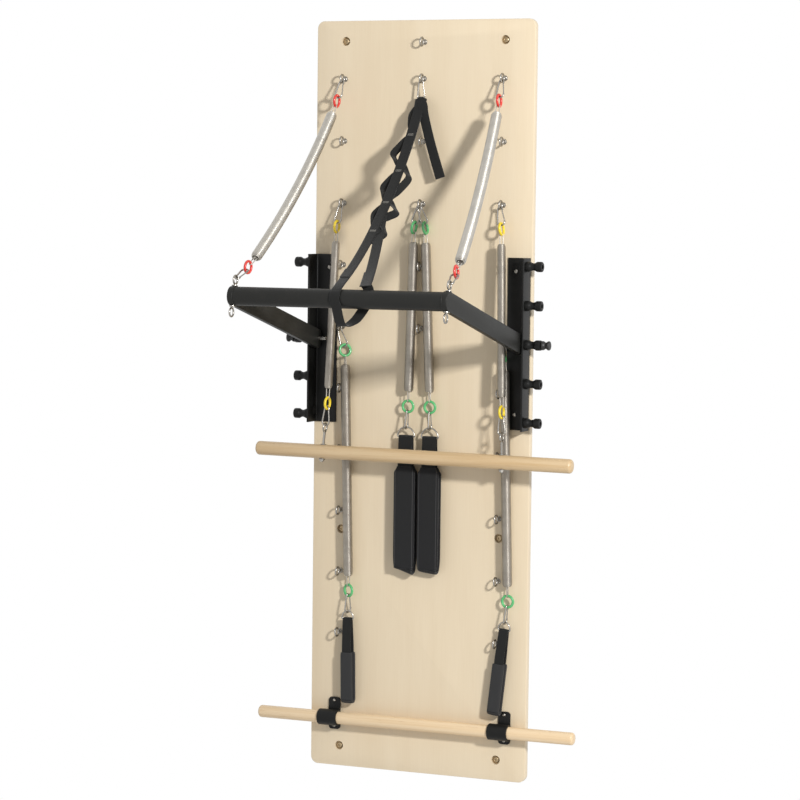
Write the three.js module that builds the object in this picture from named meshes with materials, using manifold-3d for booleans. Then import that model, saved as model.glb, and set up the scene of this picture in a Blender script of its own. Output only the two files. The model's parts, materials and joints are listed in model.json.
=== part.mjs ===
// Wall-mounted pilates tower unit: board, eye bolts, springs, push-through bar, loops and handles.
// Millimetres. X runs to the right, Y into the wall, Z up. The origin is the centre of the board's back.
import * as THREE from 'three';
import { mergeVertices } from 'three/addons/utils/BufferGeometryUtils.js';
import Module from 'manifold-3d';

const wasm = await Module();
wasm.setup();

// Board
const boardWidth = 624;
const boardHeight = 2000;
const boardThickness = 20;
const boardCornerRadius = 20;
const wallBoltSideInset = 83.5;
const wallBoltTopInset = 54;
const wallBoltMiddleRise = 643;
const wallBoltFootInset = 54.5;
const wallBoltHoleRadius = 5;
const wallBoltHeadRadius = 12;
const wallBoltHeadDepth = 9;

// Eye bolts, rings upright with their holes facing sideways
const eyeColumnInset = 83;
const eyeTopInset = 58;
const eyeFirstRowInset = 154;
const eyeLastRowInset = 365.95;
const eyeCentreRows = 5;
const eyeSideRows = 10;
const eyeStandOff = 20;
const eyeRingRadius = 11;
const eyeWireRadius = 2.4;
const eyeShankRadius = 3.6;
const eyeShankDepth = 14;
const eyeCollarRadius = 6.2;
const eyeCollarThickness = 3.2;
const eyeHoleClearance = 0.4;
const seatGap = 0.35;

// Hardware shared by every spring
const carabinerLength = 50;
const carabinerWireRadius = 2.25;
const carabinerTopRadius = 6.2;
const carabinerFootRadius = 9.8;
const colourRingRadius = 15.5;
const colourRingWireRadius = 3;
const hookWireRadius = 1.7;
const hookLength = 38;
const hookBite = 1;
const hookTipRadius = 4;
const hookLegDepth = 6;
const linkGap = 0.6;
const leftLegBeside = -4;
const rightLegBeside = 1;

// Springs
const heavyCoilRadius = 13.2;
const lightCoilRadius = 11.3;
const coilBandDepth = 5.6;
const coilCrown = 1.2;
const coilGap = 1.25;
const coilLeadIn = 3;
const coilStartShare = 0.36;
const redCurls = 8;
const yellowCurls = 6;
const legCurls = 6;
const armCurls = 7;
const redSag = 46;
const redEndSag = 20;
const redHookShare = 0.6;
const leftYellowCoilLength = 394;
const rightYellowCoilLength = 399.5;
const legCoilLength = 397;
const handleClearance = 21.4;

// Side brackets with spool sockets
const bracketEndMargin = 21.8;
const bracketCentreDrop = 844.5;
const bracketEdgeInset = 2;
const bracketPlateWidth = 64;
const bracketPlateThickness = 4;
const bracketFlangeThickness = 5;
const bracketFlangeReach = 52;
const bracketScrewInset = 24;
const bracketScrewRadius = 3.2;
const bracketUpperScrewRise = 189.5;
const bracketLowerScrewDrop = 184.5;
const socketPitch = 101.6;
const socketCount = 5;
const socketOut = 32;
const socketCollarRadius = 13.5;
const socketCollarLength = 12;
const socketNeckRadius = 9.5;
const socketNeckLength = 14;
const socketHeadLength = 18;
const pinClearance = 0.5;

// Pull pins
const pinRadius = 5;
const pinReach = 48;
const knobRadius = 12;
const knobWaistRadius = 8.5;
const knobLength = 23;
const knobRimShare = 0.25;

// Push-through bar
const armWidth = 50;
const armThickness = 14;
const armSideGap = 4;
const barReach = 483;
const barRise = 125.5;
const crossTubeRadius = 24;
const barEyeOffset = 42;
const barEyeShankRadius = 3.4;
const barWasherThickness = 2.5;
const tubeSeat = 2;

// Dowels
const rollDownRadius = 18.7;
const rollDownLength = 904;
const rollDownOut = 55;
const rollDownHangDrop = 663;
const yellowLinkForwardShare = 0.3;
const rollDownEyeDrop = 64.5;
const rollDownShift = 1;
const dowelEndRound = 6;
const nutRadius = 6.5;
const nutHeight = 6;
const lowerDowelRadius = 16.7;
const lowerDowelLength = 913;
const lowerDowelShift = 1.5;
const lowerDowelRise = 134;
const lowerDowelOut = 25;
const clampSideInset = 65;
const clampWidth = 60;
const clampWall = 4.5;
const clampPlateWidth = 40;
const clampPlateUp = 52;
const clampPlateDown = 35;
const clampPlateThickness = 4;
const clampScrewRadius = 3;
const clampScrewUp = 43;
const clampScrewDown = 25;
const slipGap = 0.4;

// Foot loops and hand loops
const ringWireRadius = 2.1;
const legRingWidth = 53;
const legRingHeight = 27;
const legWebWidth = 40;
const legPadWidth = 60;
const legPadStart = 78;
const legLoopDrop = 356;
const legWebThickness = 3;
const legPadThickness = 6.5;
const legLoopHalfDepth = 9;
const armRingWidth = 38;
const armRingHeight = 23;
const armWebWidth = 26;
const armWebThickness = 2.6;
const armLoopDrop = 224;
const armLoopHalfDepth = 9.5;
const gripWidth = 34;
const gripThickness = 8;
const gripStart = 90;
const sleeveGap = 0.45;
const shoulderTaper = 18;
const barShare = 0.95;
const archStartShare = 0.08;

// Safety strap
const strapWidth = 27;
const strapThickness = 2.6;
const strapSag = 68;
const strapTailLength = 205;
const strapTailStart = 14;
const strapTailLean = 0.42;
const strapTailClearance = 2.3;
const strapTailDip = 30;
const strapFoldRadius = 7;
const strapFoldShares = [1, 0.6, 0.32, 0.6, 1];
const strapCrossingShares = [0.05, 0.2, 0.5, 0.85];
const strapHangShare = 0.7;
const strapLoopSpread = 76;
const strapLoopHang = 36;
const strapTubeGap = 2.8;
const strapLanding = 1.1;
const strapSplitShare = 0.5;
const strapRunSteps = 9;
const strapRoundSteps = 18;

// Headings of the hanging chains as sideways shares of the drop: upper link, coil, lower link, loop
const yellowHangs = [[-0.085, -0.018, -0.07], [0.235, 0.041, 0.04]];
const legHangs = [[-0.31, -0.024, -0.09, 0], [0.36, 0.041, 0.01, 0]];
const armHangs = [[0.37, 0.026, -0.03, 0.015], [0.36, 0.03, -0.13, -0.115]];
const armRingTurn = 0.5;
const fittedEyes = [
  'centre_0', 'left_1', 'centre_1', 'right_1', 'centre_2', 'left_3', 'centre_3', 'right_3', 'left_5', 'right_5',
];

// Round shapes, counts of straight sides
const ringSteps = 11;
const hookSides = 4;
const archSteps = 6;
const bendSteps = 6;
const colourRingSteps = 10;
const pearTopSteps = 4;
const pearFootSteps = 5;
const wireSides = 5;
const shankSides = 6;
const dowelSides = 16;
const boreSides = 8;
const socketSides = 10;
const coilStepsPerCurl = 8;
const cutOver = 1;

// Derived places
const half = (length) => length / 2;
const boardFront = -boardThickness;
const boardTop = half(boardHeight);
const wallBoltHeights = [boardTop - wallBoltTopInset, wallBoltMiddleRise - boardTop, wallBoltFootInset - boardTop];
const wallBoltSpread = half(boardWidth) - wallBoltSideInset;
const eyeColumnSpread = half(boardWidth) - eyeColumnInset;
const bracketOuterEdge = half(boardWidth) - bracketEdgeInset;
const bracketInnerEdge = bracketOuterEdge - bracketPlateWidth;
const bracketScrewSpread = bracketInnerEdge + bracketScrewInset;
const pinInnerReach = bracketOuterEdge - pinReach;
const clampSpread = half(boardWidth) - clampSideInset;
const eyeTopHeight = boardTop - eyeTopInset;
const eyeFirstRowHeight = boardTop - eyeFirstRowInset;
const eyeRowPitch = (boardHeight - eyeFirstRowInset - eyeLastRowInset) / (eyeSideRows - 1);
const bracketCentreHeight = boardTop - bracketCentreDrop;
const bracketHeight = socketPitch * (socketCount - 1) + bracketEndMargin * 2;
const lowerDowelHeight = lowerDowelRise - boardTop;
const eyeOut = boardFront - eyeStandOff;
const pivot = { out: boardFront - socketOut, height: bracketCentreHeight };
const armCentre = bracketOuterEdge - bracketFlangeThickness - armSideGap - armThickness / 2;
const linkReach = carabinerLength - carabinerWireRadius - colourRingWireRadius - linkGap + colourRingRadius;
const yellowLinkDrop = linkReach / Math.hypot(1, yellowLinkForwardShare);
const eyeHangClear = eyeWireRadius + carabinerWireRadius + linkGap;
const ringHangInset = colourRingRadius - colourRingWireRadius - carabinerWireRadius - linkGap;
const ringBite = carabinerWireRadius + ringWireRadius + linkGap;
const chainReach = eyeRingRadius - eyeHangClear + linkReach + hookLength * 2 + ringHangInset + carabinerLength;
const handleReach = armRingHeight - ringBite + armLoopDrop + half(gripThickness);
const handleEyeRow = 5;
const handleEyeHeight = eyeFirstRowHeight - eyeRowPitch * (handleEyeRow - 1);
const handleFootHeight = lowerDowelHeight + lowerDowelRadius + handleClearance;
const armCoilLength = handleEyeHeight - handleFootHeight - chainReach - handleReach;

const makeFinish = (color, roughness, metalness) => ({ color, roughness, metalness });
const boardFinish = makeFinish(0xe7d6b8, 0.55, 0);
const dowelFinish = makeFinish(0xdcbc8c, 0.5, 0);
const blackFinish = makeFinish(0x161616, 0.5, 0.3);
const barFinish = makeFinish(0x2c2b28, 0.62, 0.2);
const steelFinish = makeFinish(0xc4c6c8, 0.28, 0.95);
const springFinish = makeFinish(0xcfd0d2, 0.3, 0.9);
const knobFinish = makeFinish(0x141414, 0.45, 0.1);
const webFinish = makeFinish(0x141413, 0.9, 0);
const padFinish = makeFinish(0x1d1d1c, 0.85, 0);

const vec = (x, y, z) => new THREE.Vector3(x, y, z);
const down = vec(0, 0, -1);
const acrossX = vec(1, 0, 0);
const acrossY = vec(0, 1, 0);
const at = (origin, heading, distance) => origin.clone().addScaledVector(heading, distance);

/** Turns an indexed three.js geometry into a manifold body. */
function bodyOf(geometry) {
  const bare = geometry.clone();
  bare.deleteAttribute('normal');
  bare.deleteAttribute('uv');
  const merged = mergeVertices(bare, 1e-5);
  const vertProperties = Float32Array.from(merged.attributes.position.array);
  const triVerts = Uint32Array.from(merged.index.array);
  return new wasm.Manifold(new wasm.Mesh({ numProp: 3, vertProperties, triVerts }));
}

/** Turns a manifold body back into a three.js geometry with flat normals. */
function geometryOf(body) {
  const mesh = body.getMesh();
  const geometry = new THREE.BufferGeometry();
  geometry.setAttribute('position', new THREE.BufferAttribute(Float32Array.from(mesh.vertProperties), 3));
  geometry.setIndex(Array.from(mesh.triVerts));
  geometry.computeVertexNormals();
  return geometry;
}

const fuse = (...bodies) => bodies.reduce((sum, body) => sum.add(body));
const carve = (body, ...tools) => tools.reduce((rest, tool) => rest.subtract(tool), body);
const moved = (body, place) => body.translate([place.x, place.y, place.z]);

/** A named mesh with its own finish. */
function makeMesh(name, body, finish, place = vec(0, 0, 0), turn = null) {
  const geometry = body.isBufferGeometry ? body : geometryOf(body);
  const mesh = new THREE.Mesh(geometry, new THREE.MeshStandardMaterial(finish));
  mesh.name = name;
  mesh.position.copy(place);
  if (turn) mesh.quaternion.copy(turn);
  return mesh;
}

/** A turn that carries local down onto the heading and keeps local X near the given side. */
function hangTurn(heading, side = acrossX) {
  const up = heading.clone().negate();
  const out = new THREE.Vector3().crossVectors(up, side).normalize();
  const sideways = new THREE.Vector3().crossVectors(out, up).normalize();
  return new THREE.Quaternion().setFromRotationMatrix(new THREE.Matrix4().makeBasis(sideways, out, up));
}

/** Closed skin through a list of equal rings of points. */
function loft(rings, closed) {
  const sides = rings[0].length;
  const positions = rings.flat().flatMap((point) => [point.x, point.y, point.z]);
  const faces = [];
  const spans = closed ? rings.length : rings.length - 1;
  for (let step = 0; step < spans; step += 1) {
    const next = (step + 1) % rings.length;
    for (let side = 0; side < sides; side += 1) {
      const beside = (side + 1) % sides;
      const a = step * sides + side;
      const b = step * sides + beside;
      const c = next * sides + beside;
      const d = next * sides + side;
      faces.push(a, b, c, a, c, d);
    }
  }
  if (!closed) {
    const last = (rings.length - 1) * sides;
    for (let side = 1; side < sides - 1; side += 1) {
      faces.push(0, side + 1, side, last, last + side, last + side + 1);
    }
  }
  const geometry = new THREE.BufferGeometry();
  geometry.setAttribute('position', new THREE.Float32BufferAttribute(positions, 3));
  geometry.setIndex(faces);
  geometry.computeVertexNormals();
  return geometry;
}

/** Direction of travel at each point of a path. */
function tangentsOf(points, closed) {
  return points.map((point, index) => {
    const before = closed ? points[(index + points.length - 1) % points.length] : points[Math.max(index - 1, 0)];
    const after = closed ? points[(index + 1) % points.length] : points[Math.min(index + 1, points.length - 1)];
    return after.clone().sub(before).normalize();
  });
}

/** Sweeps a section along a path. The section gives [across, outward] pairs, across along the width axis. */
function sweep(points, sectionAt, widthAxisAt, closed) {
  const tangents = tangentsOf(points, closed);
  const rings = points.map((point, index) => {
    const tangent = tangents[index];
    const across = widthAxisAt(index).clone();
    across.addScaledVector(tangent, -across.dot(tangent)).normalize();
    const outward = new THREE.Vector3().crossVectors(tangent, across).normalize();
    return sectionAt(index).map(([u, v]) => point.clone().addScaledVector(across, u).addScaledVector(outward, v));
  });
  return loft(rings, closed);
}

/** Corner points of a round wire section. */
function roundSection(radius, sides = wireSides) {
  return Array.from({ length: sides }, (_, side) => {
    const angle = (Math.PI * 2 * side) / sides;
    return [radius * Math.cos(angle), radius * Math.sin(angle)];
  });
}

/** Corner points of a flat section. */
function flatSection(width, thickness) {
  const w = half(width);
  const t = half(thickness);
  return [[w, -t], [w, t], [-w, t], [-w, -t]];
}

/** Round wire bent along a path that lies across the given axis. */
function wire(points, radius, widthAxis, closed, sides = wireSides) {
  return bodyOf(sweep(points, () => roundSection(radius, sides), () => widthAxis, closed));
}

/** A round rod between two points. */
function rod(from, to, radius, sides = shankSides) {
  const span = to.clone().sub(from);
  const geometry = new THREE.CylinderGeometry(radius, radius, span.length(), sides, 1);
  geometry.applyQuaternion(new THREE.Quaternion().setFromUnitVectors(vec(0, 1, 0), span.clone().normalize()));
  geometry.translate(...at(from, span, half(1)).toArray());
  return bodyOf(geometry);
}

/** A block by its two far corners. */
function block(low, high) {
  const size = high.clone().sub(low);
  const geometry = new THREE.BoxGeometry(size.x, size.y, size.z);
  geometry.translate(...low.clone().add(high).multiplyScalar(half(1)).toArray());
  return bodyOf(geometry);
}

/** A turned body on the X axis from [radius, x] stations, closed on the axis. */
function turned(stations, sides = dowelSides) {
  const points = stations.map(([radius, x]) => new THREE.Vector2(radius, x));
  const geometry = new THREE.LatheGeometry(points, sides);
  geometry.rotateZ(-half(Math.PI));
  return bodyOf(geometry);
}

/** A wire ring about the given axis. */
function wireRing(ringRadius, wireRadius, steps = ringSteps) {
  const geometry = new THREE.TorusGeometry(ringRadius, wireRadius, wireSides, steps);
  geometry.rotateY(half(Math.PI));
  return bodyOf(geometry);
}

/** The 26 eye bolt places on the board, named by column and row. */
function eyePlaces() {
  const rowHeight = (row) => (row === 0 ? eyeTopHeight : eyeFirstRowHeight - (row - 1) * eyeRowPitch);
  const places = new Map();
  for (let row = 0; row <= eyeCentreRows; row += 1) places.set(`centre_${row}`, vec(0, eyeOut, rowHeight(row)));
  for (let row = 1; row <= eyeSideRows; row += 1) {
    places.set(`left_${row}`, vec(-eyeColumnSpread, eyeOut, rowHeight(row)));
    places.set(`right_${row}`, vec(eyeColumnSpread, eyeOut, rowHeight(row)));
  }
  return places;
}

/** Board with blind holes for every eye bolt and counterbored holes for the wall bolts. */
function makeBoard(places) {
  const w = half(boardWidth) - boardCornerRadius;
  const h = half(boardHeight) - boardCornerRadius;
  const outline = new THREE.Shape();
  outline.absarc(w, h, boardCornerRadius, 0, half(Math.PI));
  outline.absarc(-w, h, boardCornerRadius, half(Math.PI), Math.PI);
  outline.absarc(-w, -h, boardCornerRadius, Math.PI, Math.PI + half(Math.PI));
  outline.absarc(w, -h, boardCornerRadius, -half(Math.PI), 0);
  const slab = new THREE.ExtrudeGeometry(outline, { depth: boardThickness, bevelEnabled: false, curveSegments: 5 });
  slab.rotateX(half(Math.PI));
  const holes = [];
  for (const place of places.values()) {
    const mouth = vec(place.x, boardFront - cutOver, place.z);
    const floor = vec(place.x, boardFront + eyeShankDepth + eyeHoleClearance, place.z);
    holes.push(rod(mouth, floor, eyeShankRadius + eyeHoleClearance));
  }
  for (const height of wallBoltHeights) {
    for (const side of [-1, 1]) {
      const x = side * wallBoltSpread;
      const head = vec(x, boardFront + wallBoltHeadDepth, height);
      holes.push(rod(vec(x, boardFront - cutOver, height), head, wallBoltHeadRadius, boreSides));
      holes.push(rod(vec(x, boardFront, height), vec(x, cutOver, height), wallBoltHoleRadius, boreSides));
    }
  }
  return makeMesh('board', carve(bodyOf(slab), ...holes), boardFinish);
}

/** Screw eye: ring at the origin, shank along +Y into the board. */
function eyeBoltBody() {
  const ring = wireRing(eyeRingRadius, eyeWireRadius);
  const collarFront = eyeStandOff - seatGap - eyeCollarThickness;
  const shank = rod(vec(0, eyeRingRadius, 0), vec(0, eyeStandOff + eyeShankDepth, 0), eyeShankRadius);
  const collar = rod(vec(0, collarFront, 0), vec(0, eyeStandOff - seatGap, 0), eyeCollarRadius, 6);
  return fuse(ring, shank, collar);
}

/** Pear outline of a carabiner's wire, top at the origin, foot below it. */
function pearPath() {
  const footHeight = carabinerFootRadius - carabinerLength;
  const topHeight = -carabinerTopRadius;
  const lean = Math.asin((carabinerFootRadius - carabinerTopRadius) / (topHeight - footHeight));
  const arc = (radius, height, from, to, steps) => Array.from({ length: steps + 1 }, (_, step) => {
    const angle = from + ((to - from) * step) / steps;
    return vec(radius * Math.cos(angle), 0, height + radius * Math.sin(angle));
  });
  const top = arc(carabinerTopRadius, topHeight, lean, Math.PI - lean, pearTopSteps);
  const foot = arc(carabinerFootRadius, footHeight, Math.PI - lean, Math.PI * 2 + lean, pearFootSteps);
  return [...top, ...foot];
}

/** Carabiner in its own XZ plane, hung from the origin. */
const carabinerBody = () => wire(pearPath(), carabinerWireRadius, acrossY, true);

/** Moves a body built in its own frame to its place. */
function placed(body, place, turn) {
  return body.transform(new THREE.Matrix4().compose(place, turn, vec(1, 1, 1)).elements);
}

/** Brings a body built in place back to the frame of its node. */
function unplaced(body, place, turn) {
  return body.transform(new THREE.Matrix4().compose(place, turn, vec(1, 1, 1)).invert().elements);
}

/** Middle heading of two. */
const between = (a, b) => a.clone().add(b).normalize();

/** A steep heading with a sideways and a forward part per unit of drop. */
const hanging = (sideways, forward = 0) => vec(sideways, -forward, -1).normalize();

/** Top of a carabiner's wire in an upright eye ring, beside the middle where two carabiners share the ring. */
function hangPoint(eye, heading, beside = 0) {
  const clear = eyeHangClear;
  const hang = eyeRingRadius - clear;
  const contact = beside === 0
    ? vec(0, heading.y, heading.z).normalize().multiplyScalar(eyeRingRadius)
    : vec(0, beside, -Math.sqrt(hang * hang - beside * beside) - clear);
  return at(eye.clone().add(contact), heading, -clear);
}

/** Centre of the coloured ring that hangs in a carabiner. */
function ringPoint(top, heading, ringHeading) {
  const foot = at(top, heading, linkReach - colourRingRadius);
  return at(foot, ringHeading, colourRingRadius);
}

/**
 * One unbroken helical band along an axis curve, crowned outside, its ends cut square.
 * Prints the least gap between neighbouring curls, measured from points to edges.
 */
function coilAlong(name, axis, planeNormal, curls, outerRadius, legSide) {
  const length = axis.getLength();
  const pitch = (length - coilGap - coilLeadIn * 2) / (curls - 1);
  const bandWidth = pitch - coilGap;
  const innerRadius = outerRadius - coilBandDepth;
  const first = coilLeadIn - half(bandWidth);
  const last = length + half(bandWidth) - coilLeadIn;
  const steps = curls * coilStepsPerCurl;
  const legOut = new THREE.Vector3().crossVectors(planeNormal, axis.getTangentAt(0));
  const startTurn = Math.atan2(legSide.dot(planeNormal), legSide.dot(legOut)) + Math.PI * 2 * coilStartShare;
  const rings = Array.from({ length: steps + 1 }, (_, step) => {
    const centre = first + ((last - first) * step) / steps;
    const low = Math.max(centre - half(bandWidth), 0);
    const high = Math.min(centre + half(bandWidth), length);
    const angle = startTurn + (Math.PI * 2 * step) / coilStepsPerCurl;
    const shoulder = outerRadius - coilCrown;
    const crown = [half(low + high), outerRadius];
    const corners = [[low, innerRadius], [high, innerRadius], [high, shoulder], crown, [low, shoulder]];
    return corners.map(([along, radius]) => {
      const share = along / length;
      const tangent = axis.getTangentAt(share);
      const outward = new THREE.Vector3().crossVectors(planeNormal, tangent).normalize();
      const point = axis.getPointAt(share);
      point.addScaledVector(outward, radius * Math.cos(angle));
      return point.addScaledVector(planeNormal, radius * Math.sin(angle));
    });
  });
  console.log(`${name}: ${curls} curls, least gap to itself ${leastGap(rings).toFixed(2)} mm`);
  const geometry = loft(rings, false);
  return bodyOf(geometry);
}

/** Least distance from one curl's points to the facing edges of the next curl. */
function leastGap(rings) {
  let least = Infinity;
  const spot = vec(0, 0, 0);
  for (let step = 0; step + coilStepsPerCurl < rings.length; step += 1) {
    const near = [rings[step][1], rings[step][2], between2(rings[step][1], rings[step][2])];
    const firstFacing = Math.max(step + coilStepsPerCurl - 2, 1);
    const lastFacing = Math.min(step + coilStepsPerCurl + 3, rings.length - 1);
    for (let facing = firstFacing; facing <= lastFacing; facing += 1) {
      for (const corner of [0, 4]) {
        const edge = new THREE.Line3(rings[facing - 1][corner], rings[facing][corner]);
        for (const point of near) {
          edge.closestPointToPoint(point, true, spot);
          least = Math.min(least, spot.distanceTo(point));
        }
      }
    }
  }
  return least;
}

/** Middle of two points. */
const between2 = (a, b) => a.clone().add(b).multiplyScalar(half(1));

/** Hairpin hook from the coil's end to the coloured ring, its two legs rooted inside the coil's wall. */
function hookBody(coilEnd, ringCentre, coilRadius, side) {
  const outHeading = ringCentre.clone().sub(coilEnd).normalize();
  const reach = ringCentre.distanceTo(coilEnd) - colourRingRadius;
  const root = coilRadius - coilCrown - half(coilBandDepth - coilCrown);
  const spread = hookTipRadius - hookWireRadius + colourRingWireRadius;
  const tip = reach + colourRingWireRadius + hookWireRadius - hookBite;
  const shape = [
    [root, -hookLegDepth], [spread, half(tip)], [spread, tip - spread],
    [spread * Math.SQRT1_2, tip - spread * (1 - Math.SQRT1_2)], [0, tip],
  ];
  const mirrored = shape.slice(0, -1).reverse().map(([x, z]) => [-x, z]);
  const points = [...shape, ...mirrored].map(([x, z]) => at(at(coilEnd, side, x), outHeading, z));
  const normal = new THREE.Vector3().crossVectors(side, outHeading).normalize();
  return wire(points, hookWireRadius, normal, false, hookSides);
}

/** Coil with a hook and a coloured ring at each end, as one body, placed at the coil's top. */
function makeSpring(name, links, curls, radius) {
  const { axis, planeNormal, upperRing, lowerRing, coilTop, coilFoot } = links;
  const bareRing = wireRing(colourRingRadius, colourRingWireRadius, colourRingSteps);
  const ring = (link) => placed(bareRing, link.centre, hangTurn(link.heading, link.side));
  const body = fuse(
    coilAlong(name, axis, planeNormal, curls, radius, upperRing.side),
    hookBody(coilTop, upperRing.centre, radius, upperRing.side),
    hookBody(coilFoot, lowerRing.centre, radius, lowerRing.side),
    ring(upperRing),
    ring(lowerRing),
  );
  const turn = hangTurn(coilFoot.clone().sub(coilTop).normalize());
  return makeMesh(name, unplaced(body, coilTop, turn), springFinish, coilTop, turn);
}

/**
 * Places of a free-hanging chain, from the eye down to the lower carabiner's foot.
 * The lower links can be turned a quarter round so that they lie across the upper ones.
 */
function hangChain({
  eye, beside = 0, forward = 0, linkForward = forward, hangs, coilLength, quarterTurn, ringTurn = 0,
}) {
  const upper = hanging(hangs[0], linkForward);
  const [coil, lower] = hangs.slice(1).map((sideways) => hanging(sideways, forward));
  const top = hangPoint(eye, upper, beside);
  const upperHeading = between(upper, coil);
  const upperCentre = ringPoint(top, upper, upperHeading);
  const coilTop = at(upperCentre, coil, hookLength);
  const coilFoot = at(coilTop, coil, coilLength);
  const lowerHeading = between(coil, lower);
  const lowerCentre = at(coilFoot, coil, hookLength);
  const side = quarterTurn ? acrossY : acrossX;
  const ringSide = vec(Math.cos(ringTurn), Math.sin(ringTurn), 0);
  const lowerTop = at(lowerCentre, lowerHeading, ringHangInset);
  return {
    upper: { top, turn: hangTurn(upper) },
    lower: { top: lowerTop, turn: hangTurn(lower, side) },
    foot: at(lowerTop, lower, carabinerLength),
    lowerDirection: lower,
    axis: new THREE.LineCurve3(coilTop, coilFoot),
    planeNormal: squareTo(acrossY, coil),
    upperRing: { centre: upperCentre, heading: upperHeading, side: ringSide },
    lowerRing: { centre: lowerCentre, heading: lowerHeading, side },
    coilTop,
    coilFoot,
  };
}

/** The part of an axis that stands square to a heading. */
const squareTo = (axis, heading) => axis.clone().addScaledVector(heading, -axis.dot(heading)).normalize();

/** Places of a red chain, slung from a wall eye down to the bar's eye with a gentle sag. */
function slungChain(eye, barEye) {
  const chord = barEye.clone().sub(eye);
  const along = chord.clone().normalize();
  const sagWay = squareTo(down, along);
  const slope = redEndSag / linkReach;
  const heading = (way, lean) => at(way.clone().multiplyScalar(Math.sqrt(1 - lean * lean)), sagWay, lean);
  const upper = heading(along, slope);
  const lower = heading(along.clone().negate(), slope);
  const top = hangPoint(eye, upper);
  const lowerTop = hangPoint(barEye, lower);
  const upperCoil = heading(along, slope * redHookShare);
  const lowerCoil = heading(along.clone().negate(), slope * redHookShare);
  const upperHeading = between(upper, upperCoil);
  const lowerHeading = between(lower, lowerCoil);
  const upperCentre = ringPoint(top, upper, upperHeading);
  const lowerCentre = ringPoint(lowerTop, lower, lowerHeading);
  const coilTop = at(upperCentre, upperCoil, hookLength);
  const coilFoot = at(lowerCentre, lowerCoil, hookLength);
  const middle = between2(coilTop, coilFoot);
  const endSag = middle.clone().sub(eye).dot(sagWay);
  const control = at(middle, sagWay, (redSag - endSag) * 2);
  return {
    upper: { top, turn: hangTurn(upper) },
    lower: { top: lowerTop, turn: hangTurn(lower) },
    axis: new THREE.QuadraticBezierCurve3(coilTop, control, coilFoot),
    planeNormal: new THREE.Vector3().crossVectors(along, sagWay).normalize(),
    upperRing: { centre: upperCentre, heading: upperHeading, side: acrossX },
    lowerRing: { centre: lowerCentre, heading: lowerHeading, side: acrossX },
    coilTop,
    coilFoot,
  };
}

/** Upper and lower carabiner meshes of a chain. */
function makeCarabiners(name, links) {
  return [
    makeMesh(`${name}_upper_carabiner`, carabinerBody(), steelFinish, links.upper.top, links.upper.turn),
    makeMesh(`${name}_lower_carabiner`, carabinerBody(), steelFinish, links.lower.top, links.lower.turn),
  ];
}

/** D-ring wire in its own XZ plane, arch top at the origin and bar below. */
function dRingBody(width, height) {
  const reach = half(width) - ringWireRadius;
  const arch = Array.from({ length: archSteps + 1 }, (_, step) => {
    const angle = Math.PI * (archStartShare + ((1 - archStartShare * 2) * step) / archSteps);
    return vec(reach * Math.cos(angle), 0, height * (Math.sin(angle) - 1));
  });
  const bar = [vec(-reach * barShare, 0, -height), vec(0, 0, -height), vec(reach * barShare, 0, -height)];
  return wire([...arch, ...bar], ringWireRadius, acrossY, true);
}

/** Closed webbing path in the YZ plane: over the D-ring's bar at the origin, down, and round the foot. */
function loopPath(thickness, drop, halfDepth, shoulder) {
  const overBar = ringWireRadius + slipGap + half(thickness);
  const arc = (radius, height, from, to, steps) => Array.from({ length: steps + 1 }, (_, step) => {
    const angle = from + ((to - from) * step) / steps;
    return vec(0, radius * Math.cos(angle), height + radius * Math.sin(angle));
  });
  const foot = -(drop - halfDepth);
  const sides = (way) => [vec(0, way * halfDepth, -shoulder), vec(0, way * halfDepth, -shoulder - shoulderTaper)];
  return [
    ...arc(overBar, 0, 0, Math.PI, bendSteps),
    ...sides(-1),
    ...arc(halfDepth, foot, Math.PI, Math.PI * 2, bendSteps),
    ...sides(1).reverse(),
  ];
}

/** Foot loop: webbing over the D-ring's bar, widening to a padded loop. */
function footLoopBody() {
  const points = loopPath(legWebThickness, legLoopDrop, legLoopHalfDepth, legPadStart);
  const padLine = -(legPadStart + half(shoulderTaper));
  const section = (index) => (points[index].z > padLine
    ? flatSection(legWebWidth, legWebThickness)
    : flatSection(legPadWidth, legPadThickness));
  return bodyOf(sweep(points, section, () => acrossX, true));
}

/** Hand loop's webbing. */
function handStrapBody() {
  const points = loopPath(armWebThickness, armLoopDrop, armLoopHalfDepth, gripStart - shoulderTaper);
  return bodyOf(sweep(points, () => flatSection(armWebWidth, armWebThickness), () => acrossX, true));
}

/** Padded sleeve round the hand loop's foot, hollow for the webbing. */
function gripBody() {
  const foot = -(armLoopDrop - armLoopHalfDepth);
  const bend = Array.from({ length: bendSteps + 1 }, (_, step) => {
    const angle = Math.PI * (1 + step / bendSteps);
    return vec(0, armLoopHalfDepth * Math.cos(angle), foot + armLoopHalfDepth * Math.sin(angle));
  });
  const path = (start) => [vec(0, -armLoopHalfDepth, -start), ...bend, vec(0, armLoopHalfDepth, -start)];
  const skin = sweep(path(gripStart), () => flatSection(gripWidth, gripThickness), () => acrossX, false);
  const hollow = flatSection(armWebWidth + sleeveGap * 2, armWebThickness + sleeveGap * 2);
  const core = sweep(path(gripStart - cutOver), () => hollow, () => acrossX, false);
  return carve(bodyOf(skin), bodyOf(core));
}

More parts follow.
